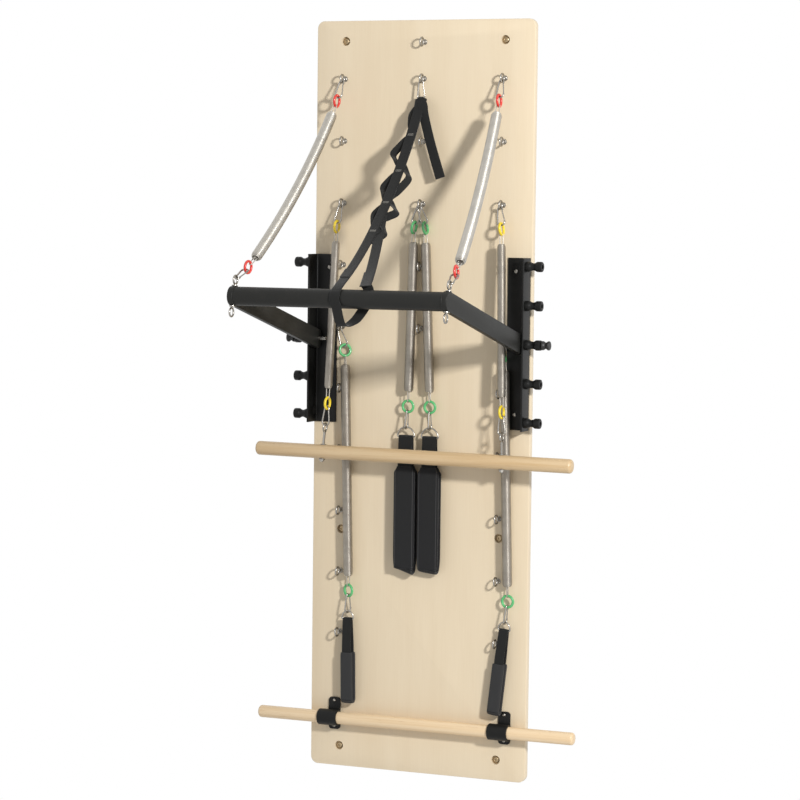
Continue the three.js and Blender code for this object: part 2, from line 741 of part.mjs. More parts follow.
/** D-ring, webbing and, for a hand loop, the padded sleeve below a green spring. */
function makeLoop(side, kind, links, loopHang) {
  const isLeg = kind === 'leg';
  const heading = hanging(loopHang);
  const ringTop = at(links.foot, links.lowerDirection, -ringBite);
  const height = isLeg ? legRingHeight : armRingHeight;
  const bar = at(ringTop, heading, height);
  const turn = hangTurn(heading);
  if (isLeg) {
    return [
      makeMesh(`${side}_foot_loop_d_ring`, dRingBody(legRingWidth, height), steelFinish, ringTop, turn),
      makeMesh(`${side}_foot_loop`, footLoopBody(), padFinish, bar, turn),
    ];
  }
  return [
    makeMesh(`${side}_handle_d_ring`, dRingBody(armRingWidth, height), steelFinish, ringTop, turn),
    makeMesh(`${side}_handle_strap`, handStrapBody(), webFinish, bar, turn),
    makeMesh(`${side}_handle_grip`, gripBody(), padFinish, bar, turn),
  ];
}

/** Right bracket: angle with five spool sockets; the left one is its mirror image. */
function bracketBody() {
  const foot = bracketCentreHeight - half(bracketHeight);
  const head = bracketCentreHeight + half(bracketHeight);
  const back = boardFront - seatGap;
  const tip = boardFront - bracketFlangeReach;
  const plate = block(vec(bracketInnerEdge, back - bracketPlateThickness, foot), vec(bracketOuterEdge, back, head));
  const flange = block(vec(bracketOuterEdge - bracketFlangeThickness, tip, foot), vec(bracketOuterEdge, back, head));
  const neckStart = socketCollarLength;
  const neckEnd = neckStart + socketNeckLength;
  const headEnd = neckEnd + socketHeadLength;
  const spool = turned([
    [0, -half(bracketFlangeThickness)], [socketCollarRadius, -half(bracketFlangeThickness)],
    [socketCollarRadius, neckStart], [socketNeckRadius, neckStart], [socketNeckRadius, neckEnd],
    [socketCollarRadius, neckEnd], [socketCollarRadius, headEnd], [0, headEnd],
  ], socketSides);
  const middle = half(socketCount - 1);
  const spools = [];
  const bores = [];
  for (let index = 0; index < socketCount; index += 1) {
    const height = pivot.height + (index - middle) * socketPitch;
    spools.push(moved(spool, vec(bracketOuterEdge, pivot.out, height)));
    const inner = vec(bracketOuterEdge - bracketFlangeThickness - cutOver, pivot.out, height);
    bores.push(rod(inner, vec(bracketOuterEdge + headEnd + cutOver, pivot.out, height), pinRadius + pinClearance, boreSides));
  }
  for (const height of [pivot.height + bracketUpperScrewRise, pivot.height - bracketLowerScrewDrop]) {
    const front = vec(bracketScrewSpread, back - bracketPlateThickness - cutOver, height);
    bores.push(rod(front, vec(bracketScrewSpread, back + cutOver, height), bracketScrewRadius));
  }
  return carve(fuse(plate, flange, ...spools), ...bores);
}

/** Right pull pin with its waisted knob; the pin runs through socket, flange and arm. */
function pullPinBody() {
  const knobStart = bracketOuterEdge + socketCollarLength + socketNeckLength + socketHeadLength + seatGap * 2;
  const knobEnd = knobStart + knobLength;
  const rim = knobLength * knobRimShare;
  return moved(turned([
    [0, pinInnerReach], [pinRadius - pinClearance, pinInnerReach], [pinRadius, pinInnerReach + pinClearance],
    [pinRadius, knobStart], [knobRadius, knobStart], [knobRadius, knobStart + rim],
    [knobWaistRadius, knobStart + half(knobLength)], [knobRadius, knobEnd - rim], [knobRadius, knobEnd], [0, knobEnd],
  ], boreSides), vec(0, pivot.out, pivot.height));
}

/** U-shaped push-through bar: two flat arms with rounded ends and a round cross tube. */
function pushBarBody(tube, barUp) {
  const armBody = (centre) => {
    const low = centre - half(armThickness);
    const high = centre + half(armThickness);
    const root = (x) => vec(x, pivot.out, pivot.height);
    const tip = (x) => vec(x, tube.y, tube.z);
    const rootEnd = rod(root(low), root(high), half(armWidth), dowelSides);
    const tipEnd = rod(tip(low), tip(high), half(armWidth), dowelSides);
    const side = barUp.clone().multiplyScalar(half(armWidth));
    const corners = [root(low).add(side), tip(low).add(side), tip(low).sub(side), root(low).sub(side)];
    const thickness = vec(armThickness, 0, 0);
    const web = bodyOf(loft([corners, corners.map((corner) => corner.clone().add(thickness))], false));
    const eyeHole = rod(
      at(tip(centre), barUp, -armWidth),
      at(tip(centre), barUp, armWidth),
      barEyeShankRadius + eyeHoleClearance,
    );
    const pinHole = rod(root(low - cutOver), root(high + cutOver), pinRadius + pinClearance, boreSides);
    return carve(fuse(rootEnd, tipEnd, web), eyeHole, pinHole);
  };
  const inner = armCentre - half(armThickness) + tubeSeat;
  const cross = rod(vec(-inner, tube.y, tube.z), vec(inner, tube.y, tube.z), crossTubeRadius, dowelSides);
  return fuse(cross, armBody(armCentre), armBody(-armCentre));
}

/** Through eye bolt of the bar: a ring above and a ring below, washers at both edges of the arm. */
function barEyeBody() {
  const ring = wireRing(eyeRingRadius, eyeWireRadius);
  const washerFoot = half(armWidth) + seatGap;
  const washer = rod(vec(0, 0, washerFoot), vec(0, 0, washerFoot + barWasherThickness), eyeCollarRadius);
  const reach = barEyeOffset - eyeRingRadius;
  return fuse(
    rod(vec(0, 0, -reach), vec(0, 0, reach), barEyeShankRadius),
    moved(ring, vec(0, 0, barEyeOffset)),
    moved(ring, vec(0, 0, -barEyeOffset)),
    washer,
    washer.mirror([0, 0, 1]),
  );
}

/** Round dowel on the X axis with rounded ends. */
function dowelBody(length, radius) {
  const reach = half(length);
  const cheek = radius - dowelEndRound;
  const soft = dowelEndRound * (1 - Math.SQRT1_2);
  return turned([
    [0, -reach], [cheek, -reach], [radius - soft, soft - reach], [radius, dowelEndRound - reach],
    [radius, reach - dowelEndRound], [radius - soft, reach - soft], [cheek, reach], [0, reach],
  ]);
}

/** Eye bolt of the roll-down dowel: ring at the origin, shank down through the dowel, nut below. */
function dowelEyeBody() {
  const ring = wireRing(eyeRingRadius, eyeWireRadius);
  const nutTop = -(rollDownEyeDrop + rollDownRadius + seatGap);
  const shank = rod(vec(0, 0, -eyeRingRadius), vec(0, 0, nutTop - nutHeight - eyeWireRadius), barEyeShankRadius);
  const nut = rod(vec(0, 0, nutTop), vec(0, 0, nutTop - nutHeight), nutRadius, 6);
  return fuse(ring, shank, nut);
}

/** Roll-down dowel with its two eye bolts, hung from the feet of the yellow chains. */
function makeRollDown(chains) {
  const gap = carabinerWireRadius + eyeWireRadius + linkGap;
  const eyes = chains.map(({ foot, lowerDirection }) => {
    const centre = at(foot, lowerDirection, eyeRingRadius - gap);
    return { centre, turn: hangTurn(lowerDirection), seat: at(centre, lowerDirection, rollDownEyeDrop) };
  });
  const [left, right] = eyes;
  const along = right.seat.clone().sub(left.seat).normalize();
  const centre = at(between2(left.seat, right.seat), along, rollDownShift);
  const turn = hangTurn(squareTo(down, along), along);
  const bores = eyes.map((eye) => {
    const bore = rod(vec(0, 0, 0), vec(0, 0, -rollDownEyeDrop * 2), barEyeShankRadius + eyeHoleClearance);
    return placed(bore, eye.centre, eye.turn);
  });
  const dowel = carve(placed(dowelBody(rollDownLength, rollDownRadius), centre, turn), ...bores);
  return [
    makeMesh('roll_down_dowel', unplaced(dowel, centre, turn), dowelFinish, centre, turn),
    makeMesh('left_dowel_eye_bolt', dowelEyeBody(), steelFinish, left.centre, left.turn),
    makeMesh('right_dowel_eye_bolt', dowelEyeBody(), steelFinish, right.centre, right.turn),
  ];
}

/** Right pipe clamp: a ring round the lower dowel on a plate with two screw holes. */
function clampBody() {
  const inner = lowerDowelRadius + slipGap;
  const back = lowerDowelOut - seatGap;
  const reach = half(clampWidth);
  const plateReach = half(clampPlateWidth);
  const ring = rod(vec(-reach, 0, 0), vec(reach, 0, 0), inner + clampWall, dowelSides);
  const low = vec(-plateReach, back - clampPlateThickness, -clampPlateDown);
  const plate = block(low, vec(plateReach, back, clampPlateUp));
  const bore = rod(vec(-reach - cutOver, 0, 0), vec(reach + cutOver, 0, 0), inner, dowelSides);
  const screw = (height) => rod(vec(0, 0, height), vec(0, back + cutOver, height), clampScrewRadius);
  return carve(fuse(ring, plate), bore, screw(clampScrewUp), screw(-clampScrewDown));
}

/** Path of the safety strap's sling, from the carabiner's foot to the tube, round it and back. */
function slingPath(foot, tube) {
  const tubeReach = crossTubeRadius + strapTubeGap + half(strapThickness);
  const round = (angle, x) => vec(x, tube.y - tubeReach * Math.cos(angle), tube.z + tubeReach * Math.sin(angle));
  const hang = (x, forward, share) => vec(x, tube.y + forward, tube.z - tubeReach - strapLoopHang * share);
  const end = round(strapLanding, 0);
  const chord = end.clone().sub(foot).normalize();
  const sagWay = squareTo(down, chord);
  const run = new THREE.QuadraticBezierCurve3(foot, at(between2(foot, end), sagWay, strapSag * 2), end);
  const layer = (way, endX) => Array.from({ length: strapRunSteps }, (_, step) => {
    const share = (step + 1) / (strapRunSteps + 1);
    const outward = new THREE.Vector3().crossVectors(acrossX, run.getTangentAt(share)).normalize();
    const point = at(run.getPointAt(share), outward, way * (half(strapThickness) + slipGap));
    const spread = Math.max(share - strapSplitShare, 0) / (1 - strapSplitShare);
    return point.add(vec(endX * spread, 0, 0));
  });
  const [first, second, third, fourth] = strapCrossingShares.map((share) => share * strapLoopSpread);
  const around = new THREE.CatmullRomCurve3([
    end, round(half(strapLanding), 0), round(0, 0), round(-half(strapLanding), first),
    hang(second, -half(tubeReach), 1), hang(third, half(tubeReach), strapHangShare),
    round(Math.PI + half(strapLanding), fourth), round(Math.PI, strapLoopSpread),
    round(Math.PI - half(strapLanding), strapLoopSpread),
  ]);
  const over = strapFoldShares.map((share, step) => {
    const angle = (Math.PI * step) / (strapFoldShares.length - 1);
    return vec(0, foot.y + strapFoldRadius * Math.cos(angle), foot.z + strapFoldRadius * Math.sin(angle));
  });
  return [...over, ...layer(-1, 0), ...around.getPoints(strapRoundSteps), ...layer(1, strapLoopSpread).reverse()];
}

/** Safety strap: a webbing sling gathered in its carabiner, with a loose tail beside it. */
function strapBody(foot, tube) {
  const widthAt = (index) => strapWidth * (strapFoldShares[index] ?? 1);
  const section = (index) => flatSection(widthAt(index), strapThickness);
  const sling = sweep(slingPath(foot, tube), section, () => acrossX, true);
  const tailTop = at(at(foot, down, strapTailStart), acrossY, -half(strapTailStart));
  const tailOut = eyeRingRadius + eyeWireRadius + half(strapThickness) + strapTailClearance;
  const elbow = at(tailTop, hanging(half(strapTailLean)), strapTailDip);
  elbow.setY(foot.y - tailOut);
  const bend = at(elbow, hanging(half(strapTailLean)), half(strapTailLength) - strapTailDip);
  const tip = at(bend, hanging(strapTailLean), half(strapTailLength));
  const tail = sweep([tailTop, elbow, bend, tip], () => flatSection(strapWidth, strapThickness), () => acrossX, false);
  return fuse(bodyOf(sling), bodyOf(tail));
}

const places = eyePlaces();
const tower = new THREE.Group();
tower.name = 'pilates_tower_unit';

const wallSide = new THREE.Group();
wallSide.name = 'wall_side';
wallSide.add(makeBoard(places));
for (const key of fittedEyes) {
  wallSide.add(makeMesh(`eye_bolt_${key}`, eyeBoltBody(), steelFinish, places.get(key)));
}
wallSide.add(makeMesh('right_bracket', bracketBody(), blackFinish));
wallSide.add(makeMesh('left_bracket', bracketBody().mirror([1, 0, 0]), blackFinish));
const lowerDowelPlace = vec(lowerDowelShift, boardFront - lowerDowelOut, lowerDowelHeight);
wallSide.add(makeMesh('lower_dowel', dowelBody(lowerDowelLength, lowerDowelRadius), dowelFinish, lowerDowelPlace));
for (const [name, way] of [['left', -1], ['right', 1]]) {
  const place = vec(way * clampSpread, lowerDowelPlace.y, lowerDowelPlace.z);
  wallSide.add(makeMesh(`${name}_dowel_clamp`, clampBody(), blackFinish, place));
}
tower.add(wallSide);

const tube = vec(0, pivot.out - barReach, pivot.height + barRise);
const barAlong = vec(0, -barReach, barRise).normalize();
const barUp = new THREE.Vector3().crossVectors(barAlong, acrossX).normalize();
const pushBar = new THREE.Group();
pushBar.name = 'push_bar_set';
pushBar.add(makeMesh('push_through_bar', pushBarBody(tube, barUp), barFinish));
pushBar.add(makeMesh('right_pull_pin', pullPinBody(), knobFinish));
pushBar.add(makeMesh('left_pull_pin', pullPinBody().mirror([1, 0, 0]), knobFinish));
tower.add(pushBar);

for (const [index, side] of ['left', 'right'].entries()) {
  const way = index === 0 ? -1 : 1;
  const barEyePlace = vec(way * armCentre, tube.y, tube.z);
  pushBar.add(makeMesh(`${side}_bar_eye_bolt`, barEyeBody(), steelFinish, barEyePlace, hangTurn(barUp.clone().negate())));
  const links = slungChain(places.get(`${side}_1`), at(barEyePlace, barUp, barEyeOffset));
  const red = new THREE.Group();
  red.name = `${side}_red_chain`;
  red.add(...makeCarabiners(`${side}_red`, links));
  red.add(makeSpring(`${side}_red_spring`, links, redCurls, heavyCoilRadius));
  tower.add(red);
}

const yellowChains = ['left', 'right'].map((side, index) => hangChain({
  eye: places.get(`${side}_3`),
  forward: (rollDownOut - yellowLinkDrop * yellowLinkForwardShare) / (rollDownHangDrop - yellowLinkDrop),
  linkForward: yellowLinkForwardShare,
  hangs: yellowHangs[index],
  coilLength: index === 0 ? leftYellowCoilLength : rightYellowCoilLength,
  quarterTurn: false,
}));
const rollDown = new THREE.Group();
rollDown.name = 'roll_down_set';
for (const [index, side] of ['left', 'right'].entries()) {
  const links = yellowChains[index];
  rollDown.add(...makeCarabiners(`${side}_yellow`, links));
  rollDown.add(makeSpring(`${side}_yellow_spring`, links, yellowCurls, lightCoilRadius));
}
rollDown.add(...makeRollDown(yellowChains));
tower.add(rollDown);

for (const [index, side] of ['left', 'right'].entries()) {
  const leg = hangChain({
    eye: places.get('centre_3'),
    beside: index === 0 ? leftLegBeside : rightLegBeside,
    hangs: legHangs[index],
    coilLength: legCoilLength,
    quarterTurn: true,
  });
  const legSet = new THREE.Group();
  legSet.name = `${side}_foot_loop_set`;
  legSet.add(...makeCarabiners(`${side}_leg`, leg));
  legSet.add(makeSpring(`${side}_leg_spring`, leg, legCurls, heavyCoilRadius));
  legSet.add(...makeLoop(side, 'leg', leg, legHangs[index][3]));
  const arm = hangChain({
    eye: places.get(`${side}_${handleEyeRow}`),
    hangs: armHangs[index],
    coilLength: armCoilLength,
    quarterTurn: true,
    ringTurn: armRingTurn,
  });
  const armSet = new THREE.Group();
  armSet.name = `${side}_handle_set`;
  armSet.add(...makeCarabiners(`${side}_arm`, arm));
  armSet.add(makeSpring(`${side}_arm_spring`, arm, armCurls, heavyCoilRadius));
  armSet.add(...makeLoop(side, 'arm', arm, armHangs[index][3]));
  tower.add(legSet, armSet);
}

const strapTop = hangPoint(places.get('centre_1'), down);
const strapFoot = at(strapTop, down, carabinerLength);
const strapSet = new THREE.Group();
strapSet.name = 'safety_strap_set';
strapSet.add(makeMesh('safety_strap_carabiner', carabinerBody(), steelFinish, strapTop));
const strapMeshBody = unplaced(strapBody(strapFoot, tube), strapFoot, hangTurn(down));
strapSet.add(makeMesh('safety_strap', strapMeshBody, webFinish, strapFoot));
tower.add(strapSet);

export default tower;
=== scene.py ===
"""Looks of a wall-mounted pilates tower unit.

Lengths are millimetres in the frame of the part, and become metres when a mesh is finished. X runs to
the right, Y into the wall and Z up. The origin is the centre of the board's back.
"""

import json
import logging
import math
from dataclasses import dataclass
from enum import Enum
from typing import Callable, Dict, List, Optional, Sequence, Tuple, Union

import bpy
from mathutils import Matrix, Vector

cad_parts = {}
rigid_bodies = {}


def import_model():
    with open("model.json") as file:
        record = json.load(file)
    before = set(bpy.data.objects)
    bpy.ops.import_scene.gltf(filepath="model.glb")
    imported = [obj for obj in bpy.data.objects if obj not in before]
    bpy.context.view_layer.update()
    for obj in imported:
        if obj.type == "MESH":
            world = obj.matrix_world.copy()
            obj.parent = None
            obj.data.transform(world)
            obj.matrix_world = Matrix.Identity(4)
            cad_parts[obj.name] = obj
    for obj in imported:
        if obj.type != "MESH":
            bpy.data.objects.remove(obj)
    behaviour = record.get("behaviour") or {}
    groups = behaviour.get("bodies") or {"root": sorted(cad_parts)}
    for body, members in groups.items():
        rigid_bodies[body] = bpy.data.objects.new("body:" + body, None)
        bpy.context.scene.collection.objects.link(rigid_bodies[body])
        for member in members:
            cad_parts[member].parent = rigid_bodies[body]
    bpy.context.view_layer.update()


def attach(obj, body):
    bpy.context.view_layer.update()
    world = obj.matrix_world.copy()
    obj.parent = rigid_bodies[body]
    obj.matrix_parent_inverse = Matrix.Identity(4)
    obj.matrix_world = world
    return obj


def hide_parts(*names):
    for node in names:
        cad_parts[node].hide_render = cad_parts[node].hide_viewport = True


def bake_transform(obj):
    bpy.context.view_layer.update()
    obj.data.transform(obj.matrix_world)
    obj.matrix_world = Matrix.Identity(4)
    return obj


LOG = logging.getLogger("tower")
MM = 0.001
ROOT = "root"
SIDES = (("left", -1), ("right", 1))
DOWN = Vector((0.0, 0.0, -1.0))
ACROSS_X = Vector((1.0, 0.0, 0.0))
ACROSS_Y = Vector((0.0, 1.0, 0.0))
QUARTER = math.pi / 2
AS_DRAWN = Matrix.Identity(4)
INTO_WALL = Matrix.Rotation(-QUARTER, 4, "X")
OFF_WALL = Matrix.Rotation(QUARTER, 4, "X")
ALONG_X = Matrix.Rotation(QUARTER, 4, "Y")
EYE_RING = 11.0
EYE_WIRE = 2.4
BAR_TUBE_RADIUS = 24.0
WHITE = (1.0, 1.0, 1.0, 1.0)
Piece = bpy.types.Object
Pair = Tuple[float, float]
Colour = Tuple[float, ...]
Triple = Tuple[float, float, float]
Point = Union[Vector, Triple]
Places = Dict[str, Vector]


# Shader maths


def linear(red: int, green: int, blue: int) -> Colour:
    """Screen colour, 0 to 255, as the linear colour that Blender's sockets take.

    Args:
        red: Red.
        green: Green.
        blue: Blue.

    Returns:
        The colour and an alpha of 1.
    """
    def one(value: int) -> float:
        """One channel of the colour, made linear."""
        share = value / 255
        return share / 12.92 if share <= 0.04045 else ((share + 0.055) / 1.055) ** 2.4

    return (one(red), one(green), one(blue), 1.0)


def tinted(colour: Colour, factor: float, lift: float = 0.0) -> Colour:
    """A colour made brighter or darker."""
    return tuple(min(1.0, part * factor + lift) for part in colour[:3]) + (1.0,)


def sum_node(operation: str) -> Callable[..., "Wire"]:
    """A method that adds a Math node on a wire and the other values.

    Args:
        operation: Blender's name of the sum.

    Returns:
        The method.
    """
    def method(self: "Wire", *others: Union["Wire", float]) -> "Wire":
        """The sum of this wire and the others."""
        values = dict(enumerate((self, *others)))
        return self.graph.node("ShaderNodeMath", {"operation": operation}, values)

    return method


class Wire:
    """One output of a node, which takes part in sums. A comparison gives 1 where it holds."""

    __add__ = __radd__ = sum_node("ADD")
    __mul__ = __rmul__ = sum_node("MULTIPLY")
    __sub__ = sum_node("SUBTRACT")
    __truediv__ = sum_node("DIVIDE")
    __lt__ = sum_node("LESS_THAN")
    __gt__ = sum_node("GREATER_THAN")
    __abs__ = sum_node("ABSOLUTE")
    sine = sum_node("SINE")
    fraction = sum_node("FRACT")
    most = sum_node("MAXIMUM")

    def __init__(self, graph: "Graph", socket: bpy.types.NodeSocket) -> None:
        """Keeps the graph and the socket."""
        self.graph = graph
        self.socket = socket

    def wave(self, pitch: float) -> "Wire":
        """Sine of self, from 0 to 1, with one crest each pitch."""
        return (self * (math.tau / pitch)).sine() * 0.5 + 0.5

    def part(self, pitch: float) -> "Wire":
        """Place of self within its own pitch, from 0 to 1."""
        return (self / pitch).fraction()

    def between(self, low: float, high: float) -> "Wire":
        """Smooth step of self, 0 at low and 1 at high."""
        settings = {"interpolation_type": "SMOOTHSTEP"}
        return self.graph.node("ShaderNodeMapRange", settings, {0: self, 1: low, 2: high, 3: 0.0, 4: 1.0})


class Graph:
    """The nodes of one material or world."""

    def __init__(self, tree: bpy.types.NodeTree) -> None:
        """Keeps the node tree."""
        self.tree = tree

    def node(
        self,
        kind: str,
        settings: Optional[Dict[str, object]] = None,
        inputs: Optional[Dict[object, object]] = None,
        output: Union[int, str] = 0,
    ) -> Wire:
        """Adds a node.

        Args:
            kind: Blender's name of the node type.
            settings: Its own properties, set first.
            inputs: Values or wires by socket name or number.
            output: Which output comes back.

        Returns:
            The chosen output.
        """
        made = self.tree.nodes.new(kind)
        for key, value in (settings or {}).items():
            setattr(made, key, value)
        for key, value in (inputs or {}).items():
            self.feed(made.inputs[key], value)
        return Wire(self, made.outputs[output])

    def feed(self, socket: bpy.types.NodeSocket, value: object) -> None:
        """Links a wire to a socket, or sets its value.

        Args:
            socket: Socket to fill.
            value: Wire or plain value.
        """
        if isinstance(value, Wire):
            self.tree.links.new(value.socket, socket)
        else:
            socket.default_value = value

    def surface(self, **values: object) -> None:
        """Sets the principled shader's sockets; underscores in a name stand for spaces."""
        shader = self.tree.nodes["Principled BSDF"]
        for key, value in values.items():
            self.feed(shader.inputs[key.replace("_", " ")], value)

    def place(self, stretch: Triple) -> Wire:
        """Object coordinates, stretched."""
        coordinates = self.node("ShaderNodeTexCoord", output="Object")
        return self.node("ShaderNodeMapping", None, {"Vector": coordinates, "Scale": stretch})

    def weave(self) -> Wire:
        """A webbing's own map, in metres across (X) and along (Y)."""
        return self.node("ShaderNodeUVMap", {"uv_map": "weave"})

    def cloth(self, axis: str) -> Wire:
        """Place across (X) or along (Y) a webbing, in metres."""
        return self.node("ShaderNodeSeparateXYZ", None, {0: self.weave()}, axis)

    def noise(
        self,
        scale: float,
        detail: float,
        rough: float,
        stretch: Triple = (1, 1, 1),
        vector: Optional[Wire] = None,
    ) -> Wire:
        """Cloudy noise from 0 to 1, on stretched Object coordinates unless a vector is given.

        Args:
            scale: How fine the pattern is.
            detail: Octaves.
            rough: Weight of the finer octaves.
            stretch: Factors along the axes.
            vector: Coordinates to use in place of Object.

        Returns:
            The noise.
        """
        spot = self.place(stretch) if vector is None else vector
        inputs = {"Vector": spot, "Scale": scale, "Detail": detail, "Roughness": rough}
        return self.node("ShaderNodeTexNoise", None, inputs)

    def mix(self, share: Union[Wire, float], first: object, second: object) -> Wire:
        """Colour between two colours."""
        return self.node("ShaderNodeMix", {"data_type": "RGBA"}, {0: share, 6: first, 7: second}, 2)

    def ridge(self, height: Wire, depth: float, strength: float, under: Optional[Wire] = None) -> Wire:
        """Normal of a small relief, depth in metres for a height of 1.

        Args:
            height: Height of the relief.
            depth: Depth in metres.
            strength: Share of the effect.
            under: Normal that it lies on.

        Returns:
            The normal.
        """
        inputs: Dict[object, object] = {"Height": height, "Distance": depth, "Strength": strength}
        if under is not None:
            inputs["Normal"] = under
        return self.node("ShaderNodeBump", None, inputs)


# Finishes


@dataclass(frozen=True)
class Finish:
    """A surface finish, made into a material once and then shared."""

    name: str
    slot: str

    def paint(self, graph: Graph) -> None:
        """Fills the material's graph."""
        raise NotImplementedError

    def material(self) -> bpy.types.Material:
        """The finish's material.

        Returns:
            The material, made at the first call.
        """
        found = bpy.data.materials.get(self.name)
        if found is None:
            found = bpy.data.materials.new(self.name)
            found.use_nodes = True
            self.paint(Graph(found.node_tree))
        return found


@dataclass(frozen=True)
class BoardLacquer(Finish):
    """Pale birch-like face with faint upright figure under a satin lacquer."""

    name: str = "board_lacquer"
    slot: str = "board_wood"
    pale: Colour = linear(232, 215, 186)
    warm: Colour = linear(225, 206, 175)
    pore: Colour = linear(196, 172, 136)

    def paint(self, graph: Graph) -> None:
        """Broad upright bands, fine pores and a slight lacquer ripple.

        Args:
            graph: Graph of the material.
        """
        bands = graph.noise(3.0, 4.0, 0.55, (5.0, 5.0, 0.45))
        fine = graph.noise(2.2, 3.0, 0.6, (160.0, 40.0, 4.0))
        share = (bands * 0.75 + fine * 0.35).between(0.3, 0.85)
        pores = graph.noise(1.0, 2.0, 0.5, (700.0, 300.0, 22.0)).between(0.66, 0.8)
        graph.surface(
            Base_Color=graph.mix(pores * 0.16, graph.mix(share, self.pale, self.warm), self.pore),
            Roughness=0.34 + fine * 0.1,
            Normal=graph.ridge(fine, 0.00006, 0.5),
            Coat_Roughness=0.22,
            Coat_Weight=0.12,
        )


@dataclass(frozen=True)
class DowelLacquer(Finish):
    """Straight-grained pale dowel wood under a clear lacquer, grain along X."""

    name: str = "dowel_lacquer"
    slot: str = "dowel_wood"
    pale: Colour = linear(240, 215, 178)
    warm: Colour = linear(227, 197, 155)
    fleck: Colour = linear(184, 142, 96)

    def paint(self, graph: Graph) -> None:
        """Long grain with darker late wood lines and short flecks.

        Args:
            graph: Graph of the material.
        """
        grain = graph.noise(1.4, 4.0, 0.6, (1.6, 75.0, 75.0))
        flecks = graph.noise(1.0, 2.0, 0.5, (26.0, 420.0, 420.0))
        base = graph.mix(grain.between(0.32, 0.72), self.pale, self.warm)
        graph.surface(
            Base_Color=graph.mix(flecks.between(0.62, 0.78) * 0.4, base, self.fleck),
            Roughness=0.36 + grain * 0.12,
            Normal=graph.ridge(flecks, 0.00008, 0.5),
            Coat_Weight=0.1,
            Coat_Roughness=0.25,
        )


@dataclass(frozen=True)
class PowderCoat(Finish):
    """Baked powder paint with its fine orange peel and rubbed high spots."""

    name: str = "black_powder_coat"
    slot: str = "black_steel"
    colour: Colour = linear(17, 17, 16)
    rubbed: Colour = linear(36, 35, 33)
    roughness: float = 0.42
    peel: float = 0.00012

    def paint(self, graph: Graph) -> None:
        """Peel in the normal, cloudy gloss, and a little rubbing.

        Args:
            graph: Graph of the material.
        """
        peel = graph.noise(620.0, 2.0, 0.5)
        cloud = graph.noise(18.0, 3.0, 0.6)
        graph.surface(
            Base_Color=graph.mix(cloud.between(0.5, 0.75) * 0.35, self.colour, self.rubbed),
            Roughness=self.roughness + cloud * 0.12 - 0.06,
            Normal=graph.ridge(peel, self.peel, 0.7),
            Specular_IOR_Level=0.22,
        )


@dataclass(frozen=True)
class BrightPlate(Finish):
    """Bright plated steel with faint handling marks."""

    name: str = "bright_plate"
    slot: str = "steel"
    colour: Colour = linear(168, 164, 157)
    roughness: float = 0.2

    def paint(self, graph: Graph) -> None:
        """Cloudy gloss and a hair of relief.

        Args:
            graph: Graph of the material.
        """
        cloud = graph.noise(90.0, 3.0, 0.6)
        marks = graph.noise(1.0, 2.0, 0.5, (900.0, 900.0, 120.0))
        graph.surface(
            Base_Color=graph.mix(cloud * 0.5, self.colour, tinted(self.colour, 0.6)),
            Metallic=1.0,
            Roughness=self.roughness + cloud * 0.14,
            Normal=graph.ridge(marks, 0.00002, 0.4),
        )


@dataclass(frozen=True)
class SpringWire(Finish):
    """Drawn spring wire with slow changes of tone."""

    name: str = "drawn_spring_wire"
    slot: str = "spring_steel"
    colour: Colour = linear(200, 196, 188)
    shade: Colour = linear(184, 180, 172)

    def paint(self, graph: Graph) -> None:
        """Drawing marks and slow changes of tone along the coil.

        Args:
            graph: Graph of the material.
        """
        tone = graph.noise(2.0, 3.0, 0.6, (12.0, 12.0, 30.0))
        marks = graph.noise(1.0, 2.0, 0.5, (300.0, 300.0, 1400.0))
        graph.surface(
            Base_Color=graph.mix(tone.between(0.3, 0.8) * 0.7, self.colour, self.shade),
            Metallic=1.0,
            Roughness=0.34 + marks * 0.12,
            Normal=graph.ridge(marks, 0.00003, 0.35),
        )


@dataclass(frozen=True)
class Enamel(Finish):
    """Thick glossy enamel on a ring, thinner where the links rub."""

    name: str = "red_enamel"
    slot: str = "steel"
    colour: Colour = linear(214, 52, 42)

    def paint(self, graph: Graph) -> None:
        """Pooled colour with slight thin spots.

        Args:
            graph: Graph of the material.
        """
        pool = graph.noise(160.0, 3.0, 0.6)
        graph.surface(
            Base_Color=graph.mix(pool.between(0.45, 0.8) * 0.5, self.colour, tinted(self.colour, 1.5, 0.03)),
            Roughness=0.24 + pool * 0.15,
            Normal=graph.ridge(pool, 0.0002, 0.4),
            Coat_Weight=0.35,
            Coat_Roughness=0.12,
        )


@dataclass(frozen=True)
class MouldedKnob(Finish):
    """Fine-textured moulded plastic."""

    name: str = "moulded_knob"
    slot: str = "knob_plastic"
    colour: Colour = linear(18, 18, 18)
    worn: Colour = linear(30, 30, 29)

    def paint(self, graph: Graph) -> None:
        """Spark-eroded texture and greasy cloudiness.

        Args:
            graph: Graph of the material.
        """
        grain = graph.noise(900.0, 2.0, 0.5)
        cloud = graph.noise(60.0, 2.0, 0.5)
        graph.surface(
            Base_Color=graph.mix(cloud * 0.4, self.colour, self.worn),
            Roughness=0.4 + cloud * 0.15,
            Normal=graph.ridge(grain, 0.00008, 0.6),
        )


